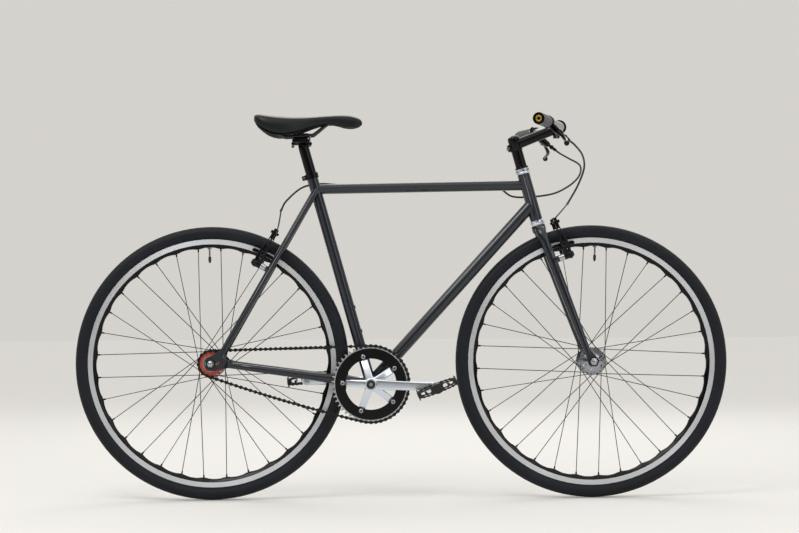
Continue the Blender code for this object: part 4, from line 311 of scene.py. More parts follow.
roof_shine = add_node(sky, "MapRange", {"To Min": DIM_SHINE, "To Max": ROOF_SHINE, "Value": above})[0]
shine = add_node(sky, "Math", {"operation": "MAXIMUM", 0: wall_shine, 1: roof_shine})[0]
wall_level = add_node(sky, "Math", {"operation": "MAXIMUM", 0: shine, 1: in_camera})[0]
soft_light = add_node(sky, "Background", {"Color": SKY_COLOUR, "Strength": soft_level})[0]
pale_wall = add_node(sky, "Background", {"Color": FAR_FLOOR, "Strength": wall_level})[0]
either = {0: add_node(sky, "Math", seen)[0], 1: soft_light, 2: pale_wall}
add_node(sky, "OutputWorld", {"Surface": add_node(sky, "MixShader", either)[0]})

# %% Lamps
LAMP_AIM = Vector((0, 0, 0.5))
for name, at, size, watts in (
    ("key lamp", (-1.6, -2.4, 3.6), 1.8, 50),
    ("fill lamp", (2.8, -2.4, 1.6), 2.0, 16),
    ("back lamp", (0.4, 3.0, 2.8), 2.4, 26),
):
    bpy.ops.object.light_add(type="AREA", location=at)
    lamp = bpy.context.object
    lamp.name = name
    lamp.data.size = size
    lamp.data.energy = watts
    lamp.rotation_euler = (LAMP_AIM - Vector(at)).to_track_quat("-Z", "Y").to_euler()
scene.view_settings.view_transform = "Standard"

# %% [markdown]
# ## Keeping a solid whose shape is already right
# Tubes, lugs and plates are already right in the solid model, but its mesh is loose triangles, so
# light would break on each one. A copy is merged and smoothed by angle, it rides on the same
# moving body, and it is shown instead of the solid.

# %% Helpers that start and settle a piece
body_of_node = {node: piece["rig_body"] for node, piece in frame["nodes"].items()}


def deselect():
    """An operator works on all that is selected, so nothing may be."""
    if bpy.context.mode != "OBJECT":
        bpy.ops.object.mode_set(mode="OBJECT")
    bpy.ops.object.select_all(action="DESELECT")


def pick(piece):
    """Selects one piece and makes it the active one."""
    deselect()
    piece.select_set(True)
    bpy.context.view_layer.objects.active = piece


def settle(piece, name, finish, body, replaced=(), angle=40, bend=None):
    """Names a finished piece, smooths it, and gives it its finish and its moving body. A piece with a
    bend is only baked in place and rides on no body; the bend's second body and points are not used."""
    pick(piece)
    piece.name = name
    piece.data.name = name
    bpy.ops.object.transform_apply(location=True, rotation=True, scale=True)
    bpy.ops.object.shade_smooth_by_angle(angle=math.radians(angle))
    piece.data.materials.clear()
    piece.data.materials.append(finishes[finish])
    if bend:
        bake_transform(piece)
    else:
        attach(piece, body)
    if replaced:
        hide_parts(*replaced)
    return piece


# %% The painted frame and fork
painted = (
    "head_tube", "top_tube", "down_tube", "seat_tube", "bottom_bracket_shell", "seatstay_right",
    "seatstay_left", "seatstay_bridge", "chainstay_right", "chainstay_left", "fork_blade_right",
    "fork_blade_left", "fork_steerer",
)
for node in painted:
    deselect()
    name = node + "_finished"
    piece = bpy.data.objects.new(name, frame["nodes"][node].data.copy())
    scene.collection.objects.link(piece)
    pick(piece)
    bpy.ops.object.mode_set(mode="EDIT")
    bpy.ops.mesh.select_all(action="SELECT")
    bpy.ops.mesh.remove_doubles(threshold=0.000002)
    bpy.ops.mesh.dissolve_limited(angle_limit=math.radians(0.5))
    bpy.ops.object.mode_set(mode="OBJECT")
    settle(piece, name, "lacquered charcoal paint", body_of_node[node], (node,))
print("painted pieces:", len(painted))

# %% [markdown]
# ## Turned pieces
# Tyres, rims, hubs, nuts and rings are round about one axis, as if turned on a lathe. Such a piece
# could be made from a cylinder with many insets. It is easier to place the points of one section,
# then spin them round the axis. Points that meet on the axis are merged, and the faces are then
# turned to point outwards.

# %% A helper that spins a section
def aimed(origin, along, sideways=(0, 0, 1)):
    """A matrix whose Z axis runs along a direction and whose X axis leans towards another."""
    z = Vector(along).normalized()
    hint = Vector(sideways)
    if abs(z.dot(hint.normalized())) > 0.98:
        hint = Vector((1, 0, 0))
    x = (hint - z * hint.dot(z)).normalized()
    turn = Matrix((x, z.cross(x), z)).transposed().to_4x4()
    return Matrix.Translation(origin) @ turn


def metres(rows):
    """Rows of lengths in millimetres as rows of metres."""
    return [tuple(length / 1000 for length in row) for row in rows]


def fused(threshold=0.000001):
    """Merges the doubles of the active mesh, turns its faces outwards and returns its object."""
    bpy.ops.object.mode_set(mode="EDIT")
    bpy.ops.mesh.select_all(action="SELECT")
    bpy.ops.mesh.remove_doubles(threshold=threshold)
    bpy.ops.mesh.normals_make_consistent(inside=False)
    bpy.ops.object.mode_set(mode="OBJECT")
    return bpy.context.object


def turned(section, origin, along, steps=48):
    """Spins a section of (radius, distance along the axis) pairs, in mm, into a closed piece."""
    deselect()
    bpy.ops.mesh.primitive_circle_add(vertices=len(section), radius=1)
    piece = bpy.context.object
    for vertex, (radius, height) in zip(piece.data.vertices, metres(section)):
        vertex.co = (radius, 0, height)
        vertex.select = radius == 0
    on_axis = [radius == 0 for radius, height in section]
    for edge in piece.data.edges:
        edge.select = all(on_axis[end] for end in edge.vertices)
    bpy.ops.object.mode_set(mode="EDIT")
    if sum(on_axis) == 2:
        bpy.ops.mesh.delete(type="EDGE")
    bpy.ops.mesh.select_all(action="SELECT")
    bpy.ops.mesh.spin(steps=steps, angle=math.tau, center=(0, 0, 0), axis=(0, 0, 1))
    fused()
    piece.matrix_world = aimed(origin, along)
    bpy.ops.object.transform_apply(location=True, rotation=True, scale=True)
    return piece


def joined(pieces):
    """Joins several closed pieces into one object."""
    pick(pieces[0])
    for piece in pieces:
        piece.select_set(True)
    if len(pieces) > 1:
        bpy.ops.object.join()
    return pieces[0]


def mirrored(half):
    """A section that is the same on both sides of its middle."""
    return [*half, *[(r, -y) for r, y in reversed(half) if y > 0]]


# %% [markdown]
# ## Tyres
# The tyre is a 35 mm wide rubber casing on a hooked rim. Its section is almost round, with beads
# tucked in beside the rim. Spinning it in 120 steps keeps its outline round even close up.

# %% Tyres
ACROSS = Vector((0, 1, 0))
TYRE_SECTION = [
    (348, 0), (347.8, 3.5), (346.8, 7.8), (344.6, 11.8), (341.2, 14.8), (337.2, 16.7), (333, 17.4),
    (328.6, 16.9), (324.4, 15.4), (320.6, 13.3), (318, 11.7), (316.6, 11), (316.6, 0),
]
for word, axle in AXLES.items():
    tyre = turned(mirrored(TYRE_SECTION), axle, ACROSS, 120)
    settle(tyre, word + "_tyre_tread", word + " tyre rubber", word + "_wheel", (word + "_tyre",), 60)
print("faces in a tyre:", len(tyre.data.polygons))

# %% [markdown]
# ## Rims
# The rim is an aluminium extrusion, rolled into a hoop and anodised black. Its inner edge swells
# at every spoke, which makes a scalloped line. Both flanks are then machined bright, so that the
# brake pads have a flat track. The hoop is spun first, then its inner points are pulled in
# beside each spoke, and the two bright tracks are thin rings of their own.

# %% Rims with scalloped inner edges
SIDES = ((-1, "right"), (1, "left"))
SPOKES = 32
VALVE_LEAN = {"front": math.radians(2.3), "rear": math.radians(-1.2)}
SWELL_FROM, SWELL_OVER, SWELL_DEPTH, SWELL_NARROWNESS = 0.3000, 0.0050, 0.0034, 1.35
RIM_SECTION = [
    (315.8, 0), (315.8, 9.8), (316.3, 10.7), (303.2, 10.7), (301.6, 10.1), (298.4, 7.9), (296.2, 6),
    (295.4, 4.2), (295.1, 0),
]
TRACK_SECTION = [(316, 10.6), (316, 11), (303.4, 11), (303.4, 10.6)]


def scallop(rim, axle, lean):
    """Pulls the inner edge of a rim towards the axle beside each spoke."""
    pitch = math.tau / SPOKES
    for vertex in rim.data.vertices:
        out = Vector((vertex.co.x - axle.x, 0, vertex.co.z - axle.z))
        depth = (SWELL_FROM - out.length) / SWELL_OVER
        if depth > 0:
            away = (math.atan2(out.x, out.z) - lean - pitch / 2) / pitch
            away = abs(away - round(away)) * 2
            swell = 0.5 + 0.5 * math.cos(math.pi * min(1, away * SWELL_NARROWNESS))
            vertex.co -= out.normalized() * SWELL_DEPTH * swell * min(1, depth)


for word, axle in AXLES.items():
    wheel = word + "_wheel"
    rim = turned(mirrored(RIM_SECTION), axle, ACROSS, SPOKES * 6)
    scallop(rim, axle, VALVE_LEAN[word])
    settle(rim, word + "_rim_hoop", "black anodised aluminium", wheel, (word + "_rim",), 50)
    tracks = []
    for side, hand in SIDES:
        tracks.append(turned([(r, side * y) for r, y in TRACK_SECTION], axle, ACROSS, 96))
    settle(joined(tracks), word + "_brake_tracks", "machined brake track", wheel, (), 30)
print("points in a rim:", len(rim.data.vertices))

# %% [markdown]
# ## Bent bars and wires
# Spokes, cables, rails and the handlebar are all a round section led along a line. A curve with a
# round bevel does that with no twist at the bends. It is converted to a mesh at the end, and the
# points of its two end caps are merged.

# %% A helper that leads a round section along points
def curved(points, steps):
    """More points on a smooth line through the given ones."""
    points = [Vector(p) for p in points]
    ends = [points[0] * 2 - points[1], *points, points[-1] * 2 - points[-2]]
    line = []
    for before, start, end, after in zip(ends, ends[1:], ends[2:], ends[3:]):
        for t in [step / steps for step in range(steps)]:
            slope = (end - before) * t
            square = (2 * before - 5 * start + 4 * end - after) * t**2
            cube = (3 * start - before - 3 * end + after) * t**3
            line.append(0.5 * (2 * start + slope + square + cube))
    return [*line, points[-1].copy()]


def round_bar(points, radius, sides=12, radii=None):
    """A bar of this radius along points. The radii, where given, replace it point by point."""
    deselect()
    bpy.ops.curve.primitive_nurbs_path_add()
    path = bpy.context.object
    path.data.splines.clear()
    line = path.data.splines.new("POLY")
    line.points.add(len(points) - 1)
    for index, point in enumerate(points):
        line.points[index].co = (*point, 1)
        line.points[index].radius = (radii[index] if radii else radius) / radius
    path.data.bevel_depth = radius
    path.data.bevel_resolution = (sides - 4) // 2
    path.data.use_fill_caps = True
    path.data.twist_mode = "MINIMUM"
    path.location = (0, 0, 0)
    bpy.ops.object.convert(target="MESH")
    return fused()


def copy_of(piece, matrix):
    """A copy with its own mesh, moved in its mesh by a matrix."""
    pick(piece)
    bpy.ops.object.duplicate()
    twin = bpy.context.object
    twin.data.transform(matrix)
    return twin


def spun_copies(piece, origin, angles):
    """Copies of a piece, turned forward round an axle by each angle, in place of the piece."""
    there, home = Matrix.Translation(origin), Matrix.Translation(-origin)
    made = [copy_of(piece, there @ Matrix.Rotation(angle, 4, "Y") @ home) for angle in angles]
    bpy.data.objects.remove(piece)
    return made


# %% [markdown]
# ## Spokes and nipples
# Each wheel has 32 stainless spokes, two millimetres thick. Their near-black finish is painted
# shade, for thin steel wire in shadow. They are laced three-cross: a spoke leaves its flange almost
# along the tangent and crosses three others, so that it can drive the rim. Only four spokes differ:
# two for each flange, one leaning forward and one back. Each is modelled once, with its bent head and
# its nipple, and copied eight times round the hub.

# %% Spokes
HOLE_RADIUS, RIM_END = 0.0320, 0.2955
SPOKE_RADIUS, HEAD_RADIUS = 0.0010, 0.0018
FLANGE_Y = 0.0350
LACING = 3 * 4 * math.pi / SPOKES
NIPPLE = [(0, 4), (2.1, 4), (2.1, -9), (1.4, -10), (0, -10)]


def on_wheel(axle, angle, radius, y=0.0):
    """A point of a wheel, its angle measured forward from straight up."""
    return axle + Vector((math.sin(angle) * radius, y, math.cos(angle) * radius))


def laced_spoke(axle, lean, index):
    """One spoke of a wheel from its head in the flange to its nipple in the rim."""
    side = -1 if index % 2 == 0 else 1
    trailing = 1 if (index // 2) % 2 == 0 else -1
    rim_angle = lean + (2 * index + 1) * math.pi / SPOKES
    hub_angle = rim_angle + trailing * LACING
    head = on_wheel(axle, hub_angle, HOLE_RADIUS, side * (FLANGE_Y - trailing * 0.0030))
    elbow = on_wheel(axle, hub_angle, HOLE_RADIUS, side * (FLANGE_Y + trailing * 0.0034))
    end = on_wheel(axle, rim_angle, RIM_END, side * 0.0015)
    run = (end - elbow).normalized()
    line = [head, elbow - ACROSS * side * trailing * 0.0010, elbow + run * 0.0012, end]
    spoke = round_bar(line, SPOKE_RADIUS, 6, [HEAD_RADIUS, *[SPOKE_RADIUS] * 3])
    return spoke, turned(NIPPLE, end, run, 6)


for word, axle in AXLES.items():
    spokes, nipples = [], []
    turns = [math.tau * copy / 8 for copy in range(8)]
    for index in range(4):
        spoke, nipple = laced_spoke(axle, VALVE_LEAN[word], index)
        spokes += spun_copies(spoke, axle, turns)
        nipples += spun_copies(nipple, axle, turns)
    # The spokes are stainless; their near-black finish is painted shade, not their own colour.
    settle(joined(spokes), word + "_spokes", "black chain steel", word + "_wheel", (), 50)
    settle(joined(nipples), word + "_nipples", "black anodised aluminium", word + "_wheel", (), 30)
print("spokes in each wheel:", len(spokes))

# %% [markdown]
# ## Valves
# A slim threaded valve stem comes through the rim, with a knurled nut at its foot. A black
# plastic cap keeps the dust off its end.

# %% Valves
RIM_HOLE = 0.2962
STEM = [(0, 26.2), (2.4, 26.2), (2.4, 4.5), (5.6, 4.2), (5.6, 0.6), (3, 0), (0, 0)]
STEM_CAP = [(0, 40.8), (1.6, 40.6), (2.6, 38.5), (3.7, 35), (3.7, 25), (3, 24.4), (0, 24.4)]
for word, axle in AXLES.items():
    inward = on_wheel(Vector(), VALVE_LEAN[word], -1)
    foot = on_wheel(axle, VALVE_LEAN[word], RIM_HOLE)
    for section, name, finish in (
        (STEM, "_valve", "zinc plated steel"),
        (STEM_CAP, "_valve_cap", "moulded black plastic"),
    ):
        settle(turned(section, foot, inward, 16), word + name, finish, word + "_wheel", (), 30)
print("valve length in millimetres:", STEM_CAP[0][1])

# %% [markdown]
# ## High-flange hubs
# A track hub is turned from one aluminium bar and polished. Its flanges are 70 mm across, drilled
# with six large openings to save weight. The shell is spun, and one round cutter goes round the
# flanges six times as a Boolean.

# %% Hub shells
HUB_HALF = [
    (11.5, 6), (11.5, 22), (15, 29), (23, 32.2), (34.6, 33), (35, 33.5), (35, 36.5), (34.6, 37),
    (25, 37.2),
]
PLAIN_END = [(14.5, 39.2), (13.2, 40.1), (12.6, 40.7)]
LONG_END = [(14.5, 39.2), (13.2, 50.1), (12.6, 50.7)]
SPROCKET_SEAT = [(20, 37.6), (19.5, 42.3), (16.8, 42.3), (16.8, 50), (16, 50.7)]
OPENINGS, OPENING_RADIUS, OPENINGS_AT = 6, 0.0052, 0.0222


def modified(piece, kind, **settings):
    """Adds a modifier with these settings to a piece and applies it."""
    pick(piece)
    modifier = piece.modifiers.new(kind.capitalize(), kind)
    for key, value in settings.items():
        setattr(modifier, key, value)
    bpy.ops.object.modifier_apply(modifier=modifier.name)
    return piece


def carved(piece, *tools):
    """Cuts the tools out of a piece and removes them."""
    for tool in tools:
        modified(piece, "BOOLEAN", operation="DIFFERENCE", solver="EXACT", object=tool)
        bpy.data.objects.remove(tool)
    return piece


def flange_openings(axle):
    """Round cutters that go through both flanges."""
    cutters = []
    for index in range(OPENINGS):
        at = on_wheel(axle, math.tau * index / OPENINGS, OPENINGS_AT)
        deselect()
        bpy.ops.mesh.primitive_cylinder_add(vertices=24, radius=OPENING_RADIUS, depth=0.12)
        cutters.append(bpy.context.object)
        cutters[-1].matrix_world = aimed(at, ACROSS)
        bpy.ops.object.transform_apply(location=True, rotation=True, scale=True)
    return joined(cutters)


for word, near, far in (("front", PLAIN_END, PLAIN_END), ("rear", SPROCKET_SEAT, LONG_END)):
    left = HUB_HALF + far
    right = [(r, -y) for r, y in HUB_HALF + near]
    section = [(0, far[-1][1]), *reversed(left), *right, (0, -near[-1][1])]
    shell = turned(section, AXLES[word], ACROSS, 64)
    carved(shell, flange_openings(AXLES[word]))
    settle(shell, word + "_hub_shell", "spun aluminium", word + "_wheel", (word + "_hub",), 35)
print("points in the rear hub:", len(shell.data.vertices))

# %% [markdown]
# ## Axles, locknuts and axle nuts
# A solid steel axle carries a locknut against each dropout, and outside it a domed track nut with a
# captive washer. The nuts are hexagonal at the foot and turned to a dome.

# %% Axle ends
def hexagon(origin, along, across_flats, low, high):
    """A hexagonal nut, its sizes in millimetres, with its corners turned off at both ends."""
    deselect()
    flats, low, high = metres([(across_flats, low, high)])[0]
    bpy.ops.mesh.primitive_cylinder_add(vertices=6, radius=flats / math.sqrt(3), depth=high - low)
    nut = bpy.context.object
    nut.matrix_world = aimed(Vector(origin) + Vector(along) * (low + high) / 2, along)
    bpy.ops.object.transform_apply(location=True, rotation=True, scale=True)
    return modified(nut, "BEVEL", width=flats * 0.045, segments=2)


for word, half, flats in (("front", 50, 17), ("rear", 60, 15.8)):
    axle, body = AXLES[word], "steering" if word == "front" else "frame"
    core = turned(
        [(0, 19.5 + half), (4.6, 19 + half), (4.6, -19 - half), (0, -19.5 - half)], axle, ACROSS, 24
    )
    locknuts = [hexagon(axle, ACROSS * side, 15, half - 8.8, half - 0.4) for side, hand in SIDES]
    core = joined([core, *locknuts])
    settle(core, word + "_axle_core", "zinc plated steel", body, (word + "_axle",), 30)
    base = half + 5.3
    tip = base + 17.5
    rim_of_washer = [(11.2, base + 2.8), (12.1, base + 2), (12.1, base + 0.2)]
    dome_of_nut = [(0.20, tip - 0.3), (0.36, tip - 1.6), (0.46, tip - 4.2), (0.49, tip - 6.5)]
    for side, hand in SIDES:
        washer = turned([(0, base + 2.8), *rim_of_washer, (0, base + 0.2)], axle, ACROSS * side, 40)
        settle(washer, f"{word}_washer_{hand}", "black chain steel", body, (), 30)
        nut = hexagon(axle, ACROSS * side, flats, base + 3, tip - 5)
        dome = [(0, tip), *[(flats * share, height) for share, height in dome_of_nut], (0, tip - 6.5)]
        pieces = [nut, turned(dome, axle, ACROSS * side, 32)]
        replaced = (f"{word}_axle_nut_{hand}",)
        settle(joined(pieces), f"{word}_nut_{hand}", "zinc plated steel", body, replaced, 30)
print("axle nuts:", 4)

# %% [markdown]
# ## Stamped plates
# Chain plates, sprockets and pedal cages are stamped from flat plate. A flat curve with an
# extrusion gives the same thing: the outline, any openings in it and a small rounded edge. It is
# converted to a mesh, and turned to face along its own direction.

# %% A helper that stamps a plate
def circle_points(radius, count, at=(0, 0), start=0.0, sweep=math.tau):
    """Points round a circle or along an arc of it."""
    share = sweep / (count if sweep == math.tau else count - 1)
    angles = [start + share * index for index in range(count)]
    return [(at[0] + math.cos(a) * radius, at[1] + math.sin(a) * radius) for a in angles]


def stamped(outlines, thickness, origin, along, sideways, edge=0.0):
    """A plate with these outlines, centred on a point and facing along a direction."""
    deselect()
    bpy.ops.curve.primitive_nurbs_path_add()
    drawing = bpy.context.object
    drawing.location = (0, 0, 0)
    drawing.data.splines.clear()
    drawing.data.dimensions = "2D"
    drawing.data.fill_mode = "BOTH"
    for outline in outlines:
        line = drawing.data.splines.new("POLY")
        line.points.add(len(outline) - 1)
        line.use_cyclic_u = True
        for point, (x, y) in zip(line.points, outline):
            point.co = (x, y, 0, 1)
    drawing.data.extrude = thickness / 2 - edge
    drawing.data.bevel_depth = edge
    drawing.data.bevel_resolution = 0
    drawing.data.offset = -edge
    bpy.ops.object.convert(target="MESH")
    plate = fused(0.000002)
    plate.data.transform(aimed(origin, along, sideways))
    return plate


def notched(radius, depth, count, every):
    """A round outline with a shallow notch, two points wide, at regular steps."""
    points = []
    for index in range(count):
        angle = math.tau * index / count
        at = radius - depth if index % every in (0, 1) else radius
        points.append((math.cos(angle) * at, math.sin(angle) * at))
    return points


# %% [markdown]
# ## The chainring
# The ring is 48 teeth stamped and milled in aluminium. It is anodised black all over before the
# teeth are cut, so the teeth stay bright. Here the bright toothed blank sits inside a black ring
# that is a fifth of a millimetre thicker on each side. Five bolts hold the ring to the spider, each
# a sleeve with a hexagon socket. The socket is not cut: a thin near-black hexagon in the sleeve's
# recess is painted shade for it.

# %% Where the drive lies
BRACKET = Vector((-0.080535, 0, 0.2937))
CHAIN_LINE = 0.044
PITCH = 0.0127
ROLLER = 0.003875
CRANK_ANGLE = math.radians(-2.5)
RING_TEETH, COG_TEETH = 48, 16
RING_PINS, COG_PINS, RUN_LINKS = 27, 8, 32
CHAIN_SAG = 0.0055
forward = (BRACKET - AXLES["rear"]).normalized()
upward = Vector((-forward.z, 0, forward.x))


def pitch_radius(teeth):
    """The radius of the circle through the rollers."""
    return PITCH / 2 / math.sin(math.pi / teeth)


def side_view(angle, radius=1.0):
    """A step in the side view, its angle above straight ahead."""
    return Vector((math.cos(angle) * radius, 0, math.sin(angle) * radius))


def toothed(teeth):
    """The outline of a sprocket: a round seat for each roller and a tooth between two."""
    middle = pitch_radius(teeth)
    seat, tooth_height, tip_half = ROLLER + 0.0003, 0.0031, 0.0011
    outline = []
    for tooth in range(teeth):
        angle = math.tau * tooth / teeth
        roller = Vector((math.cos(angle), math.sin(angle), 0)) * middle
        for step in range(7):
            turn = angle + math.pi - math.radians(62 * (step - 3) / 3)
            spot = roller + Vector((math.cos(turn), math.sin(turn), 0)) * seat
            outline.append((spot.x, spot.y))
        for away in (-tip_half, tip_half):
            turn = angle + math.pi / teeth + away / middle
            outline.append([f(turn) * (middle + tooth_height) for f in (math.cos, math.sin)])
    return outline


def toothed_plate(centre, teeth, pins, opening, thickness):
    """A sprocket on the chain line, turned so that its seats hold the rollers."""
    lead = (pins + 1) % 2 * math.pi / teeth
    toward = forward * math.cos(lead) + upward * math.sin(lead)
    at = centre - ACROSS * CHAIN_LINE
    return stamped([toothed(teeth), circle_points(opening, 64)], thickness, at, -ACROSS, toward, 0.0003)


# %% Chainring and its bolts
SPROCKET_THICKNESS, FACE_THICKNESS = 0.0028, 0.0032
FACE_RADIUS, FACE_OPENING, BOLT_CIRCLE = 0.0910, 0.0648, 0.072
teeth = toothed_plate(BRACKET, RING_TEETH, RING_PINS, 0.0850, SPROCKET_THICKNESS)
settle(teeth, "chainring_teeth", "turned aluminium", "crankset", ("chainring",), 30)
face = [circle_points(FACE_RADIUS, 128), circle_points(FACE_OPENING, 96)]
ring_at = BRACKET - ACROSS * CHAIN_LINE
ring_face = stamped(face, FACE_THICKNESS, ring_at, -ACROSS, forward, 0.0004)
settle(ring_face, "chainring_face", "black anodised aluminium", "crankset", (), 30)
spider_angles = [CRANK_ANGLE + math.pi + math.tau * index / 5 for index in range(5)]
SLEEVE = [(0, 2.2), (2.4, 2.2), (2.4, 3.3), (4.6, 3.3), (5.4, 2.8), (5.6, 0), (0, 0)]
# A thin near-black hexagon at the foot of each bolt's recess is painted shade standing for the socket.
SOCKET = [(0, 2.5), (2.2, 2.5), (2.2, 2), (0, 2)]
sleeves, sockets = [], []
for angle in spider_angles:
    at = ring_at + side_view(angle, BOLT_CIRCLE) - ACROSS * 0.0015
    sleeves.append(turned(SLEEVE, at, -ACROSS, 24))
    sockets.append(turned(SOCKET, at, -ACROSS, 6))
settle(joined(sleeves), "chainring_bolts", "zinc plated steel", "crankset", (), 30)
settle(joined(sockets), "chainring_bolt_socket_shade", "black chain steel", "crankset", (), 30)
print("ring pitch radius in millimetres:", round(pitch_radius(RING_TEETH) * 1000, 1))

# %% [markdown]
# ## The rear sprocket and its lockring
# The rear sprocket screws straight onto the hub, and a lockring with a left-hand thread keeps it
# from unwinding when the rider holds the pedals back. The sprocket is orange red. The lockring is
# steel, with three notches for a hook spanner.

# %% Cog and lockring
THREAD_RADIUS, LOCKRING_RADIUS, NOTCH_DEPTH = 0.0172, 0.0212, 0.0020
cog = toothed_plate(AXLES["rear"], COG_TEETH, COG_PINS, THREAD_RADIUS, SPROCKET_THICKNESS)
settle(cog, "cog_plate", "red anodised cog", "rear_wheel", ("cog",), 30)
lock_at = AXLES["rear"] - ACROSS * (CHAIN_LINE + 0.0042)
outlines = [notched(LOCKRING_RADIUS, NOTCH_DEPTH, 48, 16), circle_points(THREAD_RADIUS, 48)]
lockring = stamped(outlines, 0.0050, lock_at, -ACROSS, forward, 0.0005)
settle(lockring, "lockring_steel", "blued steel lockring", "rear_wheel", ("lockring",), 30)
print("faces in the cog:", len(cog.data.polygons))

# %% [markdown]
# ## The chain
# A half-inch chain has inner links, two plates pressed on two bushes with rollers, and outer
# links, two plates riveted on two pins. Each link is modelled once, with its drawn-in waist, and
# copied round the loop from pin to pin. The loop has an odd number of links, so one offset link
# with cranked plates, narrow at one end and wide at the other, closes it.

# %% Where the pins are
def pins_round(centre, teeth, count, ahead):
    """The pins on a sprocket in order, half of them on each side of straight ahead or behind."""
    wrap = math.pi / teeth * (count - 1)
    angles = [ahead * wrap * (1 - 2 * index / (count - 1)) for index in range(count)]
    steps = [forward * math.cos(a) * ahead + upward * math.sin(a) for a in angles]
    return [centre + step * pitch_radius(teeth) for step in steps]


def chain_pins():
    """The pins of the whole loop in order, round the ring, along the lower run, round the cog."""
    ring = pins_round(BRACKET, RING_TEETH, RING_PINS, 1)
    cog = pins_round(AXLES["rear"], COG_TEETH, COG_PINS, -1)
    lower, upper = [], []
    for share in [index / RUN_LINKS for index in range(1, RUN_LINKS)]:
        slack = Vector((0, 0, CHAIN_SAG * 4 * share * (1 - share)))
        lower.append(ring[-1].lerp(cog[0], share) - slack)
        upper.append(cog[-1].lerp(ring[0], share))
    return ring + lower + cog + upper


# %% One link of each kind
INNER_Y, OUTER_Y = 0.00225, 0.00335
INNER_HEIGHT, OUTER_HEIGHT, PLATE_THICKNESS = 0.0094, 0.0091, 0.0010
WAIST = 0.40
PIN_RADIUS = 1.8


def waisted(height):
    """The outline of a link plate: two round ends and a narrow middle."""
    half = height / 2
    right = circle_points(half, 7, (PITCH, 0), -math.radians(80), math.radians(160))
    left = circle_points(half, 7, (0, 0), math.radians(100), math.radians(160))
    return right + [(PITCH / 2, half * WAIST)] + left + [(PITCH / 2, -half * WAIST)]


def link(height, near, far, radius, half_length, steps):
    """A link: two plates, near and far from the chain's middle, and a cylinder on each pin."""
    pieces = []
    for side in (-1, 1):
        plate = stamped([waisted(height)], PLATE_THICKNESS, (0, 0, 0), (0, -1, 0), (1, 0, 0))
        for vertex in plate.data.vertices:
            share = min(1, max(0, (vertex.co.x / PITCH - 0.30) / 0.4))
            vertex.co.y += side * (near + (far - near) * share)
        pieces.append(plate)
    section = mirrored([(0, half_length), (radius * 0.8, half_length), (radius, half_length - 0.3)])
    return joined(pieces + [turned(section, (x, 0, 0), ACROSS, steps) for x in (0, PITCH)])


inner_link = link(INNER_HEIGHT, INNER_Y, INNER_Y, ROLLER * 1000, 1.6, 10)
outer_link = link(OUTER_HEIGHT, OUTER_Y, OUTER_Y, PIN_RADIUS, 4.4, 8)
offset_link = link(OUTER_HEIGHT, INNER_Y, OUTER_Y, PIN_RADIUS, 4.0, 8)

# %% Links round the loop
pins = chain_pins()
links = []
for index, pin in enumerate(pins):
    run = pins[(index + 1) % len(pins)] - pin
    model = inner_link if index % 2 == 0 else outer_link
    if index == len(pins) - 1:
        model = offset_link
    links.append(copy_of(model, aimed(pin - ACROSS * CHAIN_LINE, (-run.z, 0, run.x), run)))
for model in (inner_link, outer_link, offset_link):
    bpy.data.objects.remove(model)
settle(joined(links), "chain_links", "black chain steel", body_of_node["chain"], ("chain",), 35)
print("links in the chain:", len(links))

# %% [markdown]
# ## Cranks
# Each crank is forged in aluminium, tapered towards the pedal, and polished. A skin is led through
# seven rounded sections of the arm, and a turned eye and boss are joined to it. Two holes are cut,
# for the crank bolt and for the pedal.

# %% A helper that leads sections into each other
def lofted(rings):
    """A closed piece whose skin runs through rings of points, each with the same number of them."""
    deselect()
    count = len(rings[0])
    bpy.ops.mesh.primitive_circle_add(vertices=count, radius=1, fill_type="NGON")
    piece = bpy.context.object
    bpy.ops.object.mode_set(mode="EDIT")
    for _ in rings[1:]:
        bpy.ops.mesh.extrude_region_move(TRANSFORM_OT_translate={"value": (0, 0, 1)})
    bpy.ops.object.mode_set(mode="OBJECT")
    for vertex in piece.data.vertices:
        level = round(vertex.co.z)
        spot = round(math.atan2(vertex.co.y, vertex.co.x) / math.tau * count) % count
        vertex.co = rings[level][spot]
    bpy.ops.object.mode_set(mode="EDIT")
    bpy.ops.mesh.select_all(action="SELECT")
    bpy.ops.mesh.normals_make_consistent(inside=False)
    bpy.ops.object.mode_set(mode="OBJECT")
    return piece


def rounded_ring(centre, first, second, half_first, half_second, count=16, square=0.65):
    """Points round a rounded rectangle. A square value of 1 gives an ellipse."""
    points = []
    for index in range(count):
        angle = math.tau * (index + 0.5) / count
        c, s = math.cos(angle), math.sin(angle)
        a = math.copysign(abs(c) ** square, c) * half_first
        b = math.copysign(abs(s) ** square, s) * half_second
        points.append(centre + first * a + second * b)
    return points


# %% Crank arms
CRANK_LENGTH = 0.165
ARM = (
    (2, 14, 47.5, 67.8), (16, 14.3, 49, 68), (34, 13.2, 52.5, 68.2), (70, 11.9, 54.8, 68.4),
    (110, 11.2, 56, 68.6), (140, 11.4, 56.8, 69), (158, 12.4, 57.1, 69.5),
)
BOSS = [
    (0, 61), (11.2, 61), (11.2, 70), (14.2, 70), (16, 68.6), (16, 50), (14.5, 47.2), (0, 47.2),
]
EYE = [(6.8, 57), (12.2, 57), (13.6, 58.4), (13.6, 68.6), (12.2, 70), (6.8, 70)]


def forged_arm(stations, along, outward, count, square):
    """An arm out from the bracket. Each station is its distance, half its width and its two faces."""
    across = Vector((-along.z, 0, along.x))
    rings = []
    for distance, half_across, low, high in metres(stations):
        middle = BRACKET + along * distance + outward * (low + high) / 2
        half_deep = (high - low) / 2
        rings.append(rounded_ring(middle, across, outward, half_across, half_deep, count, square))
    return lofted(rings)


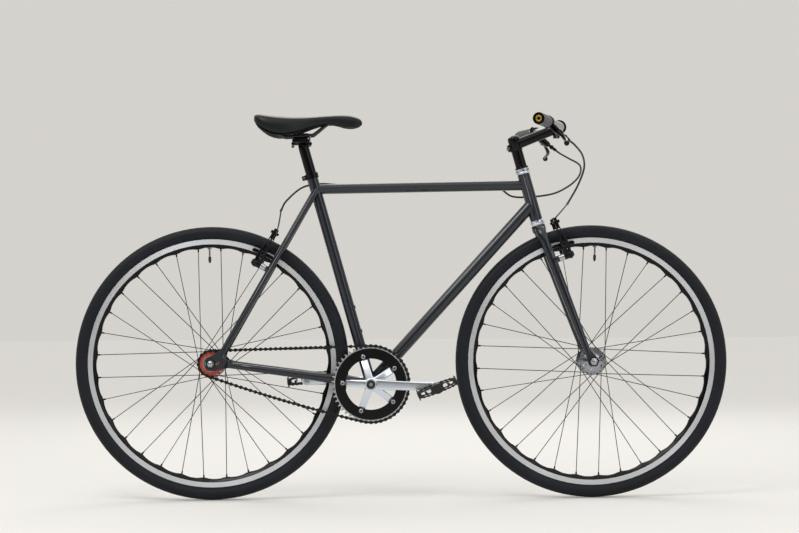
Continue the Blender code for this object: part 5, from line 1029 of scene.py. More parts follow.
for side, hand in SIDES:
    along, outward = side_view(CRANK_ANGLE, -side), ACROSS * side
    eye_at = BRACKET + along * CRANK_LENGTH
    arm = forged_arm(ARM, along, outward, 28, 0.38)
    eye = turned(EYE, eye_at, outward, 40)
    boss = turned(BOSS, BRACKET, outward)
    recess = turned([(0, 80), (11.1, 80), (11.1, 61.1), (0, 61.1)], BRACKET, outward)
    hole = turned([(0, 90), (6.9, 90), (6.9, 40), (0, 40)], eye_at, outward, 32)
    crank = joined([carved(arm, recess, hole), eye, boss])
    settle(crank, "crank_arm_" + hand, "polished aluminium", "crankset", ("crank_" + hand,), 35)
print("crank length in millimetres:", CRANK_LENGTH * 1000)

# %% [markdown]
# ## The spider
# Five flat arms run out from the boss and step in behind the chainring, where the bolts hold
# them. Each is the same forging, so one is lofted and copied by fifths of a turn.

# %% Spider arms
SPIDER = (
    (8, 10.5, 48, 61.2), (20, 9.8, 47, 59), (40, 9, 43.5, 53), (58, 8.8, 40, 47), (64, 8.8, 38.5, 42.4),
    (74, 8.4, 38.5, 42.4), (78.5, 6.2, 38.5, 42.4),
)
spider_arm = forged_arm(SPIDER, side_view(spider_angles[0]), -ACROSS, 16, 0.35)
spider = joined(spun_copies(spider_arm, BRACKET, [math.tau * index / 5 for index in range(5)]))
settle(spider, "crank_spider", "polished aluminium", "crankset", (), 35)
print("faces in the crank spider:", len(spider.data.polygons))

# %% [markdown]
# ## Spindle, cups and dust caps
# A square taper spindle turns in two threaded cups. A bolt holds each crank on it, inside a round
# recess that a black cap rings. The ends of the spindle are hidden, so here it is round all along.

# %% Bottom bracket
SPINDLE_HALF = [(0, 60.5), (6.3, 60.5), (6.3, 42), (8.5, 41)]
spindle = turned(mirrored(SPINDLE_HALF), BRACKET, ACROSS, 32)
settle(spindle, "bottom_bracket_spindle", "zinc plated steel", "crankset", ("bb_spindle",), 30)
CAP = [(5, 64), (5, 69.4), (6.6, 70), (10.4, 70), (10.9, 69.4), (10.9, 64)]
BOLT = [(0, 66.8), (2.1, 66.8), (2.1, 68.4), (4.6, 68.4), (4.9, 67.6), (4.9, 63), (0, 63)]
CUP = [(9, 34.3), (19.4, 34.3), (19.4, 35.6), (17, 37.6), (11, 37.8), (9, 37)]
for side, hand in SIDES:
    for section, steps, name, finish, body, replaced in (
        (CAP, 48, "dust_cap_", "moulded black plastic", "crankset", ()),
        (BOLT, 24, "crank_bolt_", "zinc plated steel", "crankset", ()),
        (CUP, 48, "bracket_cup_", "zinc plated steel", "frame", ("bb_cup_" + hand,)),
    ):
        settle(turned(section, BRACKET, ACROSS * side, steps), name + hand, finish, body, replaced, 30)
print("spindle length in millimetres:", 2 * SPINDLE_HALF[0][1])

# %% [markdown]
# ## Pedals
# A cage pedal has a steel spindle screwed into the crank, a body that turns on it, and a cage
# whose front and back plates are cut into teeth to hold a shoe. The near pedal is tipped nose up,
# the far one hangs a little less. Both are built by the same lines, one for each side.

# %% Pedals
PEDAL_HALF, PEDAL_HEIGHT = 0.052, 0.0118
PEDAL_NEAR, PEDAL_FAR = 0.0225, 0.1065
PEDAL_TILT = {"right": math.radians(21.0), "left": math.radians(8.4)}
TOOTH_DEPTH = 0.0028
WINDOW = metres([(15, 4), (15, -4), (18, -6.6), (34, -5.8), (43, -4), (43, 4), (34, 5.8), (18, 6.6)])
BARREL = [
    (6.6, 20), (12.5, 20.5), (13, 27), (10.4, 42), (9.8, 65), (10.4, 88), (12.5, 100), (12.8, 107.5),
    (11, 108.5), (0, 108.5), (0, 104), (6.6, 104),
]
PEDAL_AXLE = [
    (0, 103), (5.5, 103), (5.8, 11.5), (9.4, 11.5), (9.4, 6.8), (6.4, 6.8), (6.4, -7.2), (0, -7.2),
]


def tooth_row(length, height, count):
    """The outline of a cage plate with teeth on both edges."""
    top = []
    for index in range(count * 2 + 1):
        x = -length / 2 + length * index / (count * 2)
        top.append((x, height if index % 2 else height - TOOTH_DEPTH))
    return top + [(x, -z) for x, z in reversed(top)]


def side_plate(at_y):
    """The plate at an end of the pedal, with its two windows."""
    half, tall = PEDAL_HALF, PEDAL_HEIGHT
    edge = [(-half, tall * 0.40), (-half, -tall * 0.40), (-half * 0.90, -tall * 0.66)]
    for index in range(17):
        x = half * (index - 8) / 9.5
        drop = tall * (1 - 0.26 * (x / half) ** 2)
        edge.append((x, -drop if index % 2 else 0.0018 - drop))
    edge.append((half * 0.90, -tall * 0.66))
    windows = [[(end * x, z) for x, z in WINDOW] for end in (-1, 1)]
    outlines = [edge + [(-x, -z) for x, z in edge], *windows]
    return stamped(outlines, 0.0044, (0, at_y, 0), (0, -1, 0), (1, 0, 0), 0.0006)


for side, hand in SIDES:
    near, far = side * PEDAL_NEAR, side * PEDAL_FAR
    pieces = [side_plate(near), side_plate(far)]
    for end in (-1, 1):
        rail_at = (end * 0.0500, (near + far) / 2, 0)
        pieces.append(stamped([tooth_row(0.086, 0.0122, 9)], 0.0026, rail_at, (end, 0, 0), (0, 1, 0)))
        pieces.append(round_bar([(end * 0.0300, near, 0), (end * 0.0300, far, 0)], 0.0034))
    pieces.append(turned(BARREL, (0, 0, 0), ACROSS * side, 32))
    pedal = joined(pieces)
    centre = BRACKET + side_view(CRANK_ANGLE, CRANK_LENGTH * -side) + ACROSS * side * 0.0635
    pedal.data.transform(Matrix.Translation(centre) @ Matrix.Rotation(-PEDAL_TILT[hand], 4, "Y"))
    body = "pedal_" + hand
    settle(pedal, "pedal_cage_" + hand, "moulded black plastic", body, (body,), 30)
    node = "pedal_spindle_" + hand
    axle = turned(PEDAL_AXLE, centre, ACROSS * side, 24)
    settle(axle, "pedal_axle_" + hand, "zinc plated steel", body_of_node[node], (node,), 30)
print("faces in a pedal:", len(pedal.data.polygons))

# %% [markdown]
# ## Headset, spacers and stem
# The headset is two pressed cups with ball bearings in them. The upper one ends in a notched ring
# and a washer, the lower one sits on the crown race. Above it stand black spacers and the stem, a
# forging with a round body, a neck and a split clamp, pinched by bolts that run across.

# %% Where the steering lies
HEAD_LOW = Vector((0.346484, 0, 0.709463))
HEAD_UP = Vector((-0.267238, 0, 0.96363))
BAR_CENTRE = Vector((0.40465, 0, 0.94628))
STEM_BASE, STEM_TOP = 183.3, 223.3
back = Vector((-HEAD_UP.z, 0, HEAD_UP.x))
UP = Vector((0, 0, 1))


def up_steering(distance):
    """A point this far up the steering axis, in millimetres."""
    return HEAD_LOW + HEAD_UP * (distance / 1000)


def block(centre, size, up, sideways, edge=0.0):
    """A box of this size along sideways, across and up, with soft edges."""
    deselect()
    bpy.ops.mesh.primitive_cube_add(size=1)
    piece = bpy.context.object
    piece.scale = size
    bpy.ops.object.transform_apply(location=True, rotation=True, scale=True)
    if edge:
        limit = math.radians(30)
        modified(piece, "BEVEL", width=edge, segments=3, limit_method="ANGLE", angle_limit=limit)
    piece.data.transform(aimed(centre, up, sideways))
    return piece


def cross_bolt(centre, along, half, radius):
    """A bolt, its sizes in millimetres, with a round head at one end and a nut at the other."""
    section = [
        (0, half), (0.5, half), (0.5, half - 0.8), (0.85, half - 0.2), (1, half - 1), (1, half - 4),
        (0.6, half - 4), (0.6, 3 - half), (0.95, 3 - half), (0.95, -half), (0, -half),
    ]
    return turned([(radius * share, height) for share, height in section], centre, along, 20)


# %% Headset and spacers
SPACERS = [(13, 137.2), (16.6, 137.2), (17.1, 137.8), (17.1, 140.6), (16.6, 141.2)]
for low in (141.3, 151.7, 162.1, 172.5):
    SPACERS += [(13.9, low), (14.35, low + 0.5), (14.35, low + 9.8), (13.9, low + 10.3)]
SPACERS.append((13, 182.9))
for name, finish, body, steps, replaced, section in (
    ("upper_cup", "polished aluminium", "frame", 64, ("headset_upper_cup",), [
        (13, 122.4), (16.5, 122.4), (18.3, 123.8), (18.8, 125.8), (18.5, 128), (17.6, 129), (13, 129),
    ]),
    ("lower_cup", "polished aluminium", "frame", 64, ("headset_lower_cup",), [
        (13, -0.3), (16.6, -0.3), (18.5, -1.6), (18.6, -4.2), (17.8, -5), (17.8, -6), (18.8, -7),
        (18.7, -10), (17.2, -12.2), (17, -13.3), (13, -13.3),
    ]),
    ("headset_seal", "black brake rubber", "frame", 48, (), [
        (13, 128.7), (17.1, 128.7), (17.1, 129.6), (13, 129.6),
    ]),
    ("fork_crown_sleeve", "lacquered charcoal paint", "steering", 56, (), [
        (13, -13.7), (16.6, -13.7), (17.7, -15), (18, -18.5), (18, -27), (17.4, -30), (16, -32.5),
        (13, -34),
    ]),
    ("headset_washer", "polished aluminium", "steering", 48, (), [
        (13, 133.9), (17, 133.9), (17.6, 134.5), (17.6, 136.2), (16.8, 136.9), (13, 136.9),
    ]),
    ("spacers", "black anodised aluminium", "steering", 48, ("stem_spacers",), SPACERS),
):
    settle(turned(section, HEAD_LOW, HEAD_UP, steps), name, finish, body, replaced)
outlines = [notched(0.0183, 0.0017, 96, 8), circle_points(0.0130, 48)]
notched_ring = stamped(outlines, 0.0040, up_steering(131.8), HEAD_UP, (1, 0, 0), 0.0003)
settle(notched_ring, "headset_notched_ring", "turned aluminium", "steering")
print("height of the spacers in millimetres:", round(SPACERS[-1][1] - SPACERS[0][1], 1))

# %% Stem
STEM_BODY = [
    (0, STEM_TOP), (8.5, STEM_TOP - 0.2), (12, STEM_TOP - 1.4), (14.3, STEM_TOP - 3.6),
    (15.3, STEM_TOP - 6.4), (15.5, STEM_TOP - 9), (15.5, STEM_BASE + 1.2), (14.8, STEM_BASE + 0.2),
    (13.1, STEM_BASE + 0.2), (13.1, STEM_TOP - 5.4), (0, STEM_TOP - 5.4),
]
BAR_CLAMP = mirrored([(12.9, 20), (17.2, 20), (18.5, 18.5)])
stem_body = turned(STEM_BODY, HEAD_LOW, HEAD_UP, 56)
neck_start = up_steering(STEM_BASE + 16.8)
run = (BAR_CENTRE - neck_start).normalized()
neck_line = [neck_start + run * 0.010, neck_start + run * 0.055, BAR_CENTRE - run * 0.014]
neck = round_bar(neck_line, 0.0130, 32, [0.0135, 0.0128, 0.0130])
clamp = turned(BAR_CLAMP, BAR_CENTRE, ACROSS, 56)
lug_at = up_steering(STEM_BASE + 12) + back * 0.0165
rear_lug = block(lug_at, (0.010, 0.021, 0.018), HEAD_UP, back, 0.0025)
under = BAR_CENTRE - run * 0.006 - UP * 0.0195
front_lug = block(under, (0.016, 0.022, 0.011), UP, run, 0.0025)
forging = joined([stem_body, neck, clamp, rear_lug, front_lug])
settle(forging, "stem_forging", "black anodised aluminium", "steering", ("stem",), 35)
STEM_CAP = [(0, 1.2), (5.2, 1.2), (6, 0.6), (6, -1), (0, -1)]
stem_cap = turned(STEM_CAP, up_steering(STEM_TOP), HEAD_UP, 32)
settle(stem_cap, "stem_cap", "black anodised aluminium", "steering")
bolts = [
    cross_bolt(lug_at + back * 0.0030, ACROSS, 13.2, 4),
    cross_bolt(under - UP * 0.0012, ACROSS, 14, 3.8),
]
settle(joined(bolts), "stem_bolts", "zinc plated steel", "steering", (), 30)
print("stem height in millimetres:", round(STEM_TOP - STEM_BASE, 1))

# %% [markdown]
# ## Handlebar and grips
# The bar is aluminium tube, thicker at the clamp, bent back 17 degrees on both sides. Each grip is
# a smooth rubber sleeve with a black lock ring at its end, and a gold plug closes the bar.

# %% Handlebar
SWEEP = math.radians(17)
BEND_Y = 0.040
GRIP_END_Y = 0.29061
BAR_RADIUS, CLAMPED_RADIUS = 0.0111, 0.0127


def bar_point(side, y):
    """A point on the bar's axis at this distance from the middle plane."""
    return BAR_CENTRE + Vector((-math.tan(SWEEP) * max(0, y - BEND_Y), side * y, 0))


def bar_direction(side):
    """The direction in which an end of the bar points."""
    return Vector((-math.sin(SWEEP), side * math.cos(SWEEP), 0))


half = [(BAR_CENTRE, CLAMPED_RADIUS)]
half += [(bar_point(1, y), radius) for y, radius in ((0.0240, CLAMPED_RADIUS), (0.0262, BAR_RADIUS))]
first, corner, last = bar_point(1, 0.0274), bar_point(1, BEND_Y), bar_point(1, 0.0580)
for t in [step / 8 for step in range(9)]:
    half.append((first * (1 - t) ** 2 + corner * 2 * t * (1 - t) + last * t**2, BAR_RADIUS))
half.append((bar_point(1, GRIP_END_Y - 0.006), BAR_RADIUS))
whole = [(Vector((p.x, -p.y, p.z)), r) for p, r in reversed(half[1:])] + half
bar = round_bar([p for p, r in whole], BAR_RADIUS, 28, [r for p, r in whole])
settle(bar, "handlebar_tube", "silver stoved paint", "steering", ("handlebar",), 30)
print("points along the bar:", len(whole))

# %% Grips, lock rings and plugs
GRIP = [
    (11.3, -98), (13.6, -98), (14.6, -97.2), (15, -95.5), (15, -93), (14.6, -92.5), (14.6, -91.8),
    (15, -91.2), (15, -8), (14.8, -6.4), (11.3, -6.4),
]
LOCK = [(8.6, 0), (13.8, 0), (14.9, -1), (14.9, -6), (8.6, -6)]
PLUG = [(0, -2.2), (3.8, -2.2), (4.2, -0.6), (7.8, -0.2), (8.5, -1), (8.5, -6), (0, -6)]
PLUG_SOCKET = [(0, -1.8), (3.9, -1.8), (3.9, -2.6), (0, -2.6)]
for side, hand in SIDES:
    for section, steps, name, finish, replaced in (
        (GRIP, 48, "grip_sleeve_", "grey rubber grip", ("grip_" + hand,)),
        (LOCK, 48, "grip_ring_", "black anodised aluminium", ()),
        (PLUG, 40, "bar_plug_", "gold anodised plug", ()),
        (PLUG_SOCKET, 24, "bar_plug_socket_", "black anodised aluminium", ()),
    ):
        piece = turned(section, bar_point(side, GRIP_END_Y), bar_direction(side), steps)
        settle(piece, name + hand, finish, "steering", replaced)
print("grip length in millimetres:", round(GRIP[-1][1] - GRIP[0][1], 1))

# %% [markdown]
# ## Brake levers
# A lever bracket clamps round the bar and holds the lever between two cheeks, on a pin. The
# cable leaves through a threaded adjuster with a knurled ring. The lever is a short cast blade for
# two fingers that ends in a ball, so that it can't catch a sleeve.

# %% Where a lever lies
LEVER_DROP = math.radians(42)
LEVER_OUT = Vector((math.cos(LEVER_DROP), 0, -math.sin(LEVER_DROP)))
LEVER_Y = 0.183


def lever_frame(side):
    """The bar point under a lever, the bar's direction, the lever's reach and its pin."""
    along = bar_direction(side)
    reach = (LEVER_OUT - along * LEVER_OUT.dot(along)).normalized()
    return bar_point(side, LEVER_Y), along, reach, (reach.cross(along) * side).normalized()


def cable_adjuster(side):
    """Where the adjuster leaves the bracket, and its direction."""
    centre, along, reach, _ = lever_frame(side)
    return centre + reach * 0.040 - along * 0.010, (reach * 0.88 - along * 0.47).normalized()


def led_through(stations, steps, origin, along, aside, pin, count, square):
    """A skin led smoothly through stations. Each is a place along and aside, and half the width
    aside and along the pin."""
    rings = []
    for ahead, off, half_aside, half_pin in curved(metres(stations), steps):
        middle = origin + along * ahead + aside * off
        rings.append(rounded_ring(middle, aside, pin, half_aside, half_pin, count, square))
    return lofted(rings)


# %% Levers and their brackets
ADJUSTER = [
    (0, 30), (3.2, 30), (4.2, 28.8), (4.2, 21.2), (3.4, 20.6), (3.4, 19.4), (5.4, 19), (5.8, 18),
    (5.8, 13.5), (5.4, 12.5), (4, 12), (4, 0), (0, 0),
]
CHEEKS = (
    (11.8, 0, 7, 7), (15, 0, 7.8, 8), (24, 0, 10, 8.5), (33, -1, 13.8, 8.2), (39, -3, 14, 7.8),
    (44, -6, 10.5, 7.4), (46.2, -7, 7, 6),
)
BLADE = (
    (-3, -2, 3, 3), (0, 0.5, 5, 3.4), (10, 12, 5.5, 3.4), (22, 30, 4.8, 4.8), (42, 41, 3.8, 5.6),
    (64, 46, 3.4, 5.6), (79, 52, 4, 4.8),
)
BAR_RING = mirrored([(11.3, 7.5), (15, 7.5), (16, 6.4)])
LEVER_HUB = mirrored([(2.7, 3.6), (5.6, 3.6), (6.2, 3)])
for side, hand in SIDES:
    centre, along, reach, pin = lever_frame(side)
    pivot = centre + reach * 0.034 + along * 0.006
    ring = turned(BAR_RING, centre, along, 40)
    cheeks = led_through(CHEEKS, 2, centre, reach, along, pin, 24, 0.6)
    carved(cheeks, block(pivot + along * 0.010 + reach * 0.006, (0.040, 0.034, 0.0082), pin, along))
    bracket = joined([ring, cheeks, turned(ADJUSTER, *cable_adjuster(side), 20)])
    name, replaced = "lever_bracket_body_" + hand, ("lever_bracket_" + hand,)
    settle(bracket, name, "black anodised aluminium", "steering", replaced, 35)
    screws = [cross_bolt(pivot, pin, 9, 3.4), cross_bolt(centre - reach * 0.0150, pin, 8.5, 3)]
    settle(joined(screws), "lever_screws_" + hand, "zinc plated steel", "steering", (), 30)
    lug = block(centre - reach * 0.0155, (0.0085, 0.0100, 0.0130), pin, reach, 0.002)
    settle(lug, "lever_clamp_lug_" + hand, "black anodised aluminium", "steering", (), 35)
    hub = turned(LEVER_HUB, pivot, pin, 28)
    blade = led_through(BLADE, 4, pivot, along, reach, pin, 16, 0.75)
    carved(blade, turned([(0, 10), (2.7, 10), (2.7, -10), (0, -10)], pivot, pin, 20))
    deselect()
    bpy.ops.mesh.primitive_uv_sphere_add(segments=28, ring_count=16, radius=0.0068)
    ball = bpy.context.object
    ball.data.transform(Matrix.Translation(pivot + along * 0.0820 + reach * 0.0540))
    lever = "lever_" + hand
    blade = joined([hub, blade, ball])
    settle(blade, "lever_blade_" + hand, "black anodised aluminium", lever, (lever,))
print("lever hinge:", [round(v, 4) for v in pivot])

# %% [markdown]
# ## Rim brakes
# Each brake is two arms that hinge on bosses beside the rim. The cable pulls their tops together,
# a coil spring round each hinge pushes them apart. An arm is a skeleton of two ribs with an
# opening. It carries a curved rubber pad in a black holder, on a threaded post.

# %% The shapes of a brake arm
ARM_STATIONS = (
    (-4, 0, 7, 8.8), (6, 1, 8, 10.4), (20, 3, 6.8, 11.2), (34, 6, 5.8, 10.6), (48, 7.5, 4.8, 8.4),
    (62, 8, 4.4, 6), (78, 6.8, 4.2, 4.6), (89, 5, 4.4, 5.2),
)
ARM_HUB = mirrored([(5.2, 11), (8, 11), (8.8, 10)])
BORE = [(0, 30), (5.2, 30), (5.2, -30), (0, -30)]
POST = [(0, 56.5), (3, 56.5), (3.4, 55.5), (3.4, 20), (0, 20)]
WASHERS = [(3.4, 49.6), (6.8, 49.6), (7, 48.8), (7, 47.2), (3.4, 47.2)]
BOSS_BOLT = [
    (0, 15), (2.6, 15), (2.6, 13.8), (5.8, 13.8), (6.6, 13), (6.6, 11.3), (4, 11.3), (4, -10), (0, -10),
]
BOSS_SLEEVE = [(8, -11.3), (8.6, -11.6), (8.6, -25), (8, -25.3)]
TRACK_RADIUS = 0.3095
# The near and far faces of a strip, half its length and half its height.
PAD, HOLDER = (0.0136, 0.0200, 0.0290, 0.0045), (0.0195, 0.0235, 0.0285, 0.0046)
COIL_RADIUS, COIL_PITCH, COIL_WIRE, COIL_TURNS = 0.0102, 0.0022, 0.0009, 3
PIVOT_Y = 0.040
BRAKES = {
    "front": (Vector((-0.350642, 0, 0.93651)), 0.423974, 0.618932, "steering", -1),
    "rear": (Vector((0.498949, 0, 0.866631)), -0.368503, 0.601401, "frame", 1),
}


def pad_strip(middle, radial, side, near, far, half_length, half_height, steps=16):
    """A strip that follows the rim, between two distances from the wheel's middle plane."""
    tangent = radial.cross(ACROSS).normalized()
    rings = []
    for step in range(steps + 1):
        t = step / steps * 2 - 1
        taper = min(1, (1.02 - abs(t)) / 0.10) ** 0.5
        sag = TRACK_RADIUS - math.sqrt(TRACK_RADIUS**2 - (half_length * t) ** 2)
        at = middle + tangent * half_length * t - radial * sag
        at.y = side * (near + far) / 2
        rings.append(rounded_ring(at, ACROSS, radial, (far - near) / 2, half_height * taper, 16, 0.5))
    return lofted(rings)


def spring(pivot, arm_up, out, axis):
    """A coil of three turns round a hinge, with its end led up along the arm."""
    turns = []
    for step in range(COIL_TURNS * 16 + 1):
        angle = math.tau * step / 16
        swing = arm_up * math.cos(angle) + out * math.sin(angle)
        turns.append(pivot + swing * COIL_RADIUS + axis * (0.0015 + COIL_PITCH * angle / math.tau))
    turns.append(turns[-1] + arm_up * 0.030 + out * 0.002)
    return round_bar(turns, COIL_WIRE, 8)


# %% Brake arms with their pads
for word, (arm_up, pivot_x, pivot_z, carrier, cable_side) in BRAKES.items():
    axis = Vector((arm_up.z, 0, -arm_up.x)) * (1 if word == "front" else -1)
    for side, hand in SIDES:
        out = ACROSS * side
        pivot = Vector((pivot_x, side * PIVOT_Y, pivot_z))
        arm = led_through(ARM_STATIONS, 3, pivot, arm_up, out, axis, 20, 0.55)
        low, high = pivot + arm_up * 0.0190 + out * 0.003, pivot + arm_up * 0.0620 + out * 0.008
        opening = block(low, (0.030, 0.0085, 0.0100), arm_up, out, 0.002)
        slot = block(high, (0.020, 0.0050, 0.0220), arm_up, out, 0.002)
        carved(arm, opening, slot, turned(BORE, pivot, axis, 28))
        head_at = pivot + arm_up * 0.090 + out * 0.005
        head_size = (0.011, 0.018 if side == cable_side else 0.014, 0.0070)
        head = block(head_at, head_size, arm_up, out, 0.0018)
        anchor = block(head_at + arm_up * 0.0065, (0.0100, 0.0080, 0.0085), arm_up, out, 0.0016)
        post_at = pivot + arm_up * 0.030
        post_foot = Vector((post_at.x, 0, post_at.z))
        radial = (post_foot - AXLES[word]).normalized()
        holder = pad_strip(post_at, radial, side, *HOLDER)
        hub, post = turned(ARM_HUB, pivot, axis, 36), turned(POST, post_foot, out, 20)
        whole_arm = joined([hub, arm, head, anchor, post, holder])
        pad = pad_strip(post_at, radial, side, *PAD)
        nuts = [
            hexagon(post_foot, out, 10, 49.5, 54.5),
            turned(WASHERS, post_foot, out, 28),
            hexagon(head_at, axis, 8, 5.2, 8.8),
        ]
        coil = spring(pivot, arm_up, out, axis)
        sleeve, bolt = turned(BOSS_SLEEVE, pivot, axis, 32), turned(BOSS_BOLT, pivot, axis, 28)
        body, replaced = f"{word}_brake_{hand}", (f"{word}_brake_arm_{hand}",)
        for piece, what, finish, rides_on, stands_for, angle in (
            (whole_arm, "arm_body", "black anodised aluminium", body, replaced, 35),
            (pad, "pad", "black brake rubber", body, (), 35),
            (joined(nuts), "nuts", "black steel rail", body, (), 30),
            (coil, "spring", "black steel rail", body, (), 50),
            (sleeve, "boss", "turned aluminium", carrier, (), 30),
            (bolt, "bolt", "black steel rail", carrier, (), 30),
        ):
            settle(piece, f"{word}_brake_{what}_{hand}", finish, rides_on, stands_for, angle)
print("faces in a brake arm:", len(whole_arm.data.polygons))

# %% [markdown]
# ## Brake cables
# Black housing leads each cable from its lever. The front one swings forward and down to the
# brake, the rear one loops round the head tube and runs along the far side of the top tube. A thin
# bent metal pipe then leads the bare wire across to the other arm. Both ends of each cable are
# fixed, so none of them hangs free. Each pipe sits in the head of one brake arm, with a rubber boot
# on its end. The loop, the pipes and the boots are baked in place and ride on no moving body.

# %% Points along each cable
front_start, front_run = cable_adjuster(-1)
rear_start, rear_run = cable_adjuster(1)
front_top = Vector((0.389261, -0.040, 0.711646))
rear_top = Vector((-0.319107, 0.040, 0.687197))
loop_end = Vector((0.29153, 0.0245, 0.770595))
TUBE_START, TUBE_END = Vector((-0.219298, 0, 0.790692)), Vector((0.321711, 0, 0.798792))
tube_run = (TUBE_START - TUBE_END).normalized()
TUBE_RADIUS, HOUSING_RADIUS, HOUSING_GAP = 0.0127, 0.0025, 0.0008
BESIDE = TUBE_RADIUS + HOUSING_RADIUS + HOUSING_GAP
LOOP_POINTS, ROUTE_STEPS, PIPE_STEPS = 7, 8, 6


def steps_from(place, *steps):
    """The points that lie at these steps, in millimetres, from a place."""
    return [place + Vector(step) for step in metres(steps)]


front_route = curved([
    front_start + front_run * 0.0290, front_start + front_run * 0.050,
    *steps_from(BAR_CENTRE, (47.8, -122, -79), (57.4, -70, -108.3)),
    *steps_from(front_top, (58.7, -8, 83.4), (33.2, -6, 38.4)),
], ROUTE_STEPS)
front_pipe = curved([
    front_route[-1],
    *steps_from(front_top, (19.5, -5.5, 22), (6, -4, 6.6), (1.2, 1, 1.2), (0, 10, 0)),
], PIPE_STEPS)
whole_route = curved([
    rear_start + rear_run * 0.0290, rear_start + rear_run * 0.045,
    *steps_from(BAR_CENTRE, (40.3, 146, -68.6), (67.1, 114, -90), (59.6, 80, -120.9)),
    *steps_from(loop_end, (138.5, 31.5, 25.4), (88.5, 11.5, 5.4)), loop_end,
    TUBE_END + tube_run * 0.075 + ACROSS * BESIDE - Vector((0, 0, 0.001)),
    TUBE_END + tube_run * 0.130 + ACROSS * BESIDE,
    TUBE_END + tube_run * 0.300 + ACROSS * BESIDE,
    TUBE_END + tube_run * 0.400 + Vector((0, BESIDE * 0.96, 0.004)),
    TUBE_START - tube_run * 0.060 + Vector((0, BESIDE * 0.80, 0.011)),
    TUBE_START - tube_run * 0.012 + Vector((0, BESIDE + 0.0040, 0.0150)),
    TUBE_START + tube_run * 0.035 + Vector((0, BESIDE + 0.0020, 0.0060)),
    TUBE_START + Vector((-0.075, 0.020, -0.028)), rear_top + Vector((0.010, 0.002, 0.052)),
], ROUTE_STEPS)
split = LOOP_POINTS * ROUTE_STEPS
loop_route, rear_route = whole_route[: split + 1], whole_route[split:]
rear_pipe = curved([
    rear_route[-1], *steps_from(rear_top, (5, 3, 22), (1, 0, 5), (0, -10, 0)),
], PIPE_STEPS)
print("points along the rear housing:", len(rear_route))

# %% Housings, pipes and wires
FERRULE = [(0, 8.5), (2.2, 8.5), (2.6, 7.8), (3, 6), (3.1, 0), (0, 0)]
PIPE_RADIUS, WIRE_RADIUS = 0.0019, 0.0008
BOOT_RADIUS, CREST_RADIUS, FOLD_RADIUS, FOLDS = 0.0030, 0.0034, 0.0025, 24


def ferrule(route):
    """The metal cap on the last end of a route."""
    run = (route[-1] - route[-2]).normalized()
    return turned(FERRULE, route[-1] - run * 0.004, run, 20)


for word, route, pipe, top, body, arm_body in (
    ("front", front_route, front_pipe, front_top, "steering", "front_brake_right"),
    ("rear", rear_route, rear_pipe, rear_top, "frame", "rear_brake_left"),
):
    housing = round_bar(route, HOUSING_RADIUS, 14)
    name, replaced = word + "_cable_housing", (word + "_brake_housing",)
    settle(housing, name, "cable housing plastic", body, replaced, 50)
    caps = [ferrule(route), *([ferrule(route[::-1])] if word == "front" else [])]
    bend = (arm_body, pipe[0], pipe[2 * PIPE_STEPS])
    bent = joined([round_bar(pipe, PIPE_RADIUS), *caps])
    settle(bent, word + "_cable_pipe", "stainless cable wire", body, (), 50, bend)
    inward = -1 if top.y > 0 else 1
    far = Vector((top.x, inward * 0.031, top.z))
    start, end = pipe[-1], Vector((top.x, inward * 0.012, top.z))
    wire_line = [start - (far - start) * 0.05, far, far + Vector((0, inward * 0.012, -0.004))]
    wire = round_bar(wire_line, WIRE_RADIUS, 8)
    settle(wire, word + "_cable_wire", "stainless cable wire", body, (), 50)
    folds = [start + (end - start) * index / FOLDS for index in range(FOLDS + 1)]
    radii = [CREST_RADIUS if index % 2 else FOLD_RADIUS for index in range(FOLDS + 1)]
    boot = round_bar(folds, BOOT_RADIUS, 14, radii)
    settle(boot, word + "_cable_boot", "black brake rubber", body, (), 60, (arm_body, end, start))
bend = ("frame", loop_route[ROUTE_STEPS], loop_end)
loop = round_bar(loop_route, HOUSING_RADIUS, 14)
settle(loop, "rear_cable_loop", "cable housing plastic", "steering", ("rear_brake_loop",), 50, bend)
print("points along the loop:", len(loop_route))

# %% [markdown]
# ## Seatpost and seat clamp
# The seatpost is a drawn tube with a forged head. Two bolts, one ahead of the post and one behind,
# pull an upper and a lower clamp together on the saddle rails, and tilt the saddle between them.

# %% Post and head
SEAT_TOP = Vector((-0.22914, 0, 0.825944))
SEAT_UP = Vector((-0.26892, 0, 0.963163))
RAIL_CLAMP = Vector((-0.25506, 0, 0.91879))
level = Vector((1, 0, 0.06)).normalized()
seat_back = Vector((-SEAT_UP.z, 0, SEAT_UP.x))
neck = (RAIL_CLAMP - SEAT_TOP).dot(SEAT_UP) * 1000
POST_SECTION = [
    (0, neck - 8), (10.5, neck - 8), (12.8, neck - 16), (13.6, neck - 24), (13.6, -148), (13, -150),
    (0, -150),
]
pieces = [turned(POST_SECTION, SEAT_TOP, SEAT_UP)]
for at, size, edge in (
    (UP * -0.0055, (0.044, 0.056, 0.0095), 0.0025),
    (UP * -0.011 + level * 0.001, (0.053, 0.017, 0.008), 0.003),
    (UP * 0.0112, (0.036, 0.056, 0.0055), 0.0018),
    (UP * 0.0035, (0.034, 0.034, 0.016), 0.0015),
):
    pieces.append(block(RAIL_CLAMP + at, size, UP, level, edge))
post_body = body_of_node["seatpost"]
settle(joined(pieces), "seatpost_forging", "black anodised aluminium", post_body, ("seatpost",), 35)
BOLT_AHEAD = 0.0215
bolts, barrels = [], []
for at in (-BOLT_AHEAD, BOLT_AHEAD):
    place = RAIL_CLAMP + level * at
    bolts.append(cross_bolt(place - UP * 0.003, UP * -1, 16.5, 4.2))
    barrel_ends = [place - UP * 0.0172 + ACROSS * y for y in (-0.006, 0.006)]
    barrels.append(round_bar(barrel_ends, 0.0036, 16))
settle(joined(bolts + barrels), "seatpost_bolts", "zinc plated steel", post_body, (), 30)
print("seatpost head above the tube in millimetres:", round(neck))

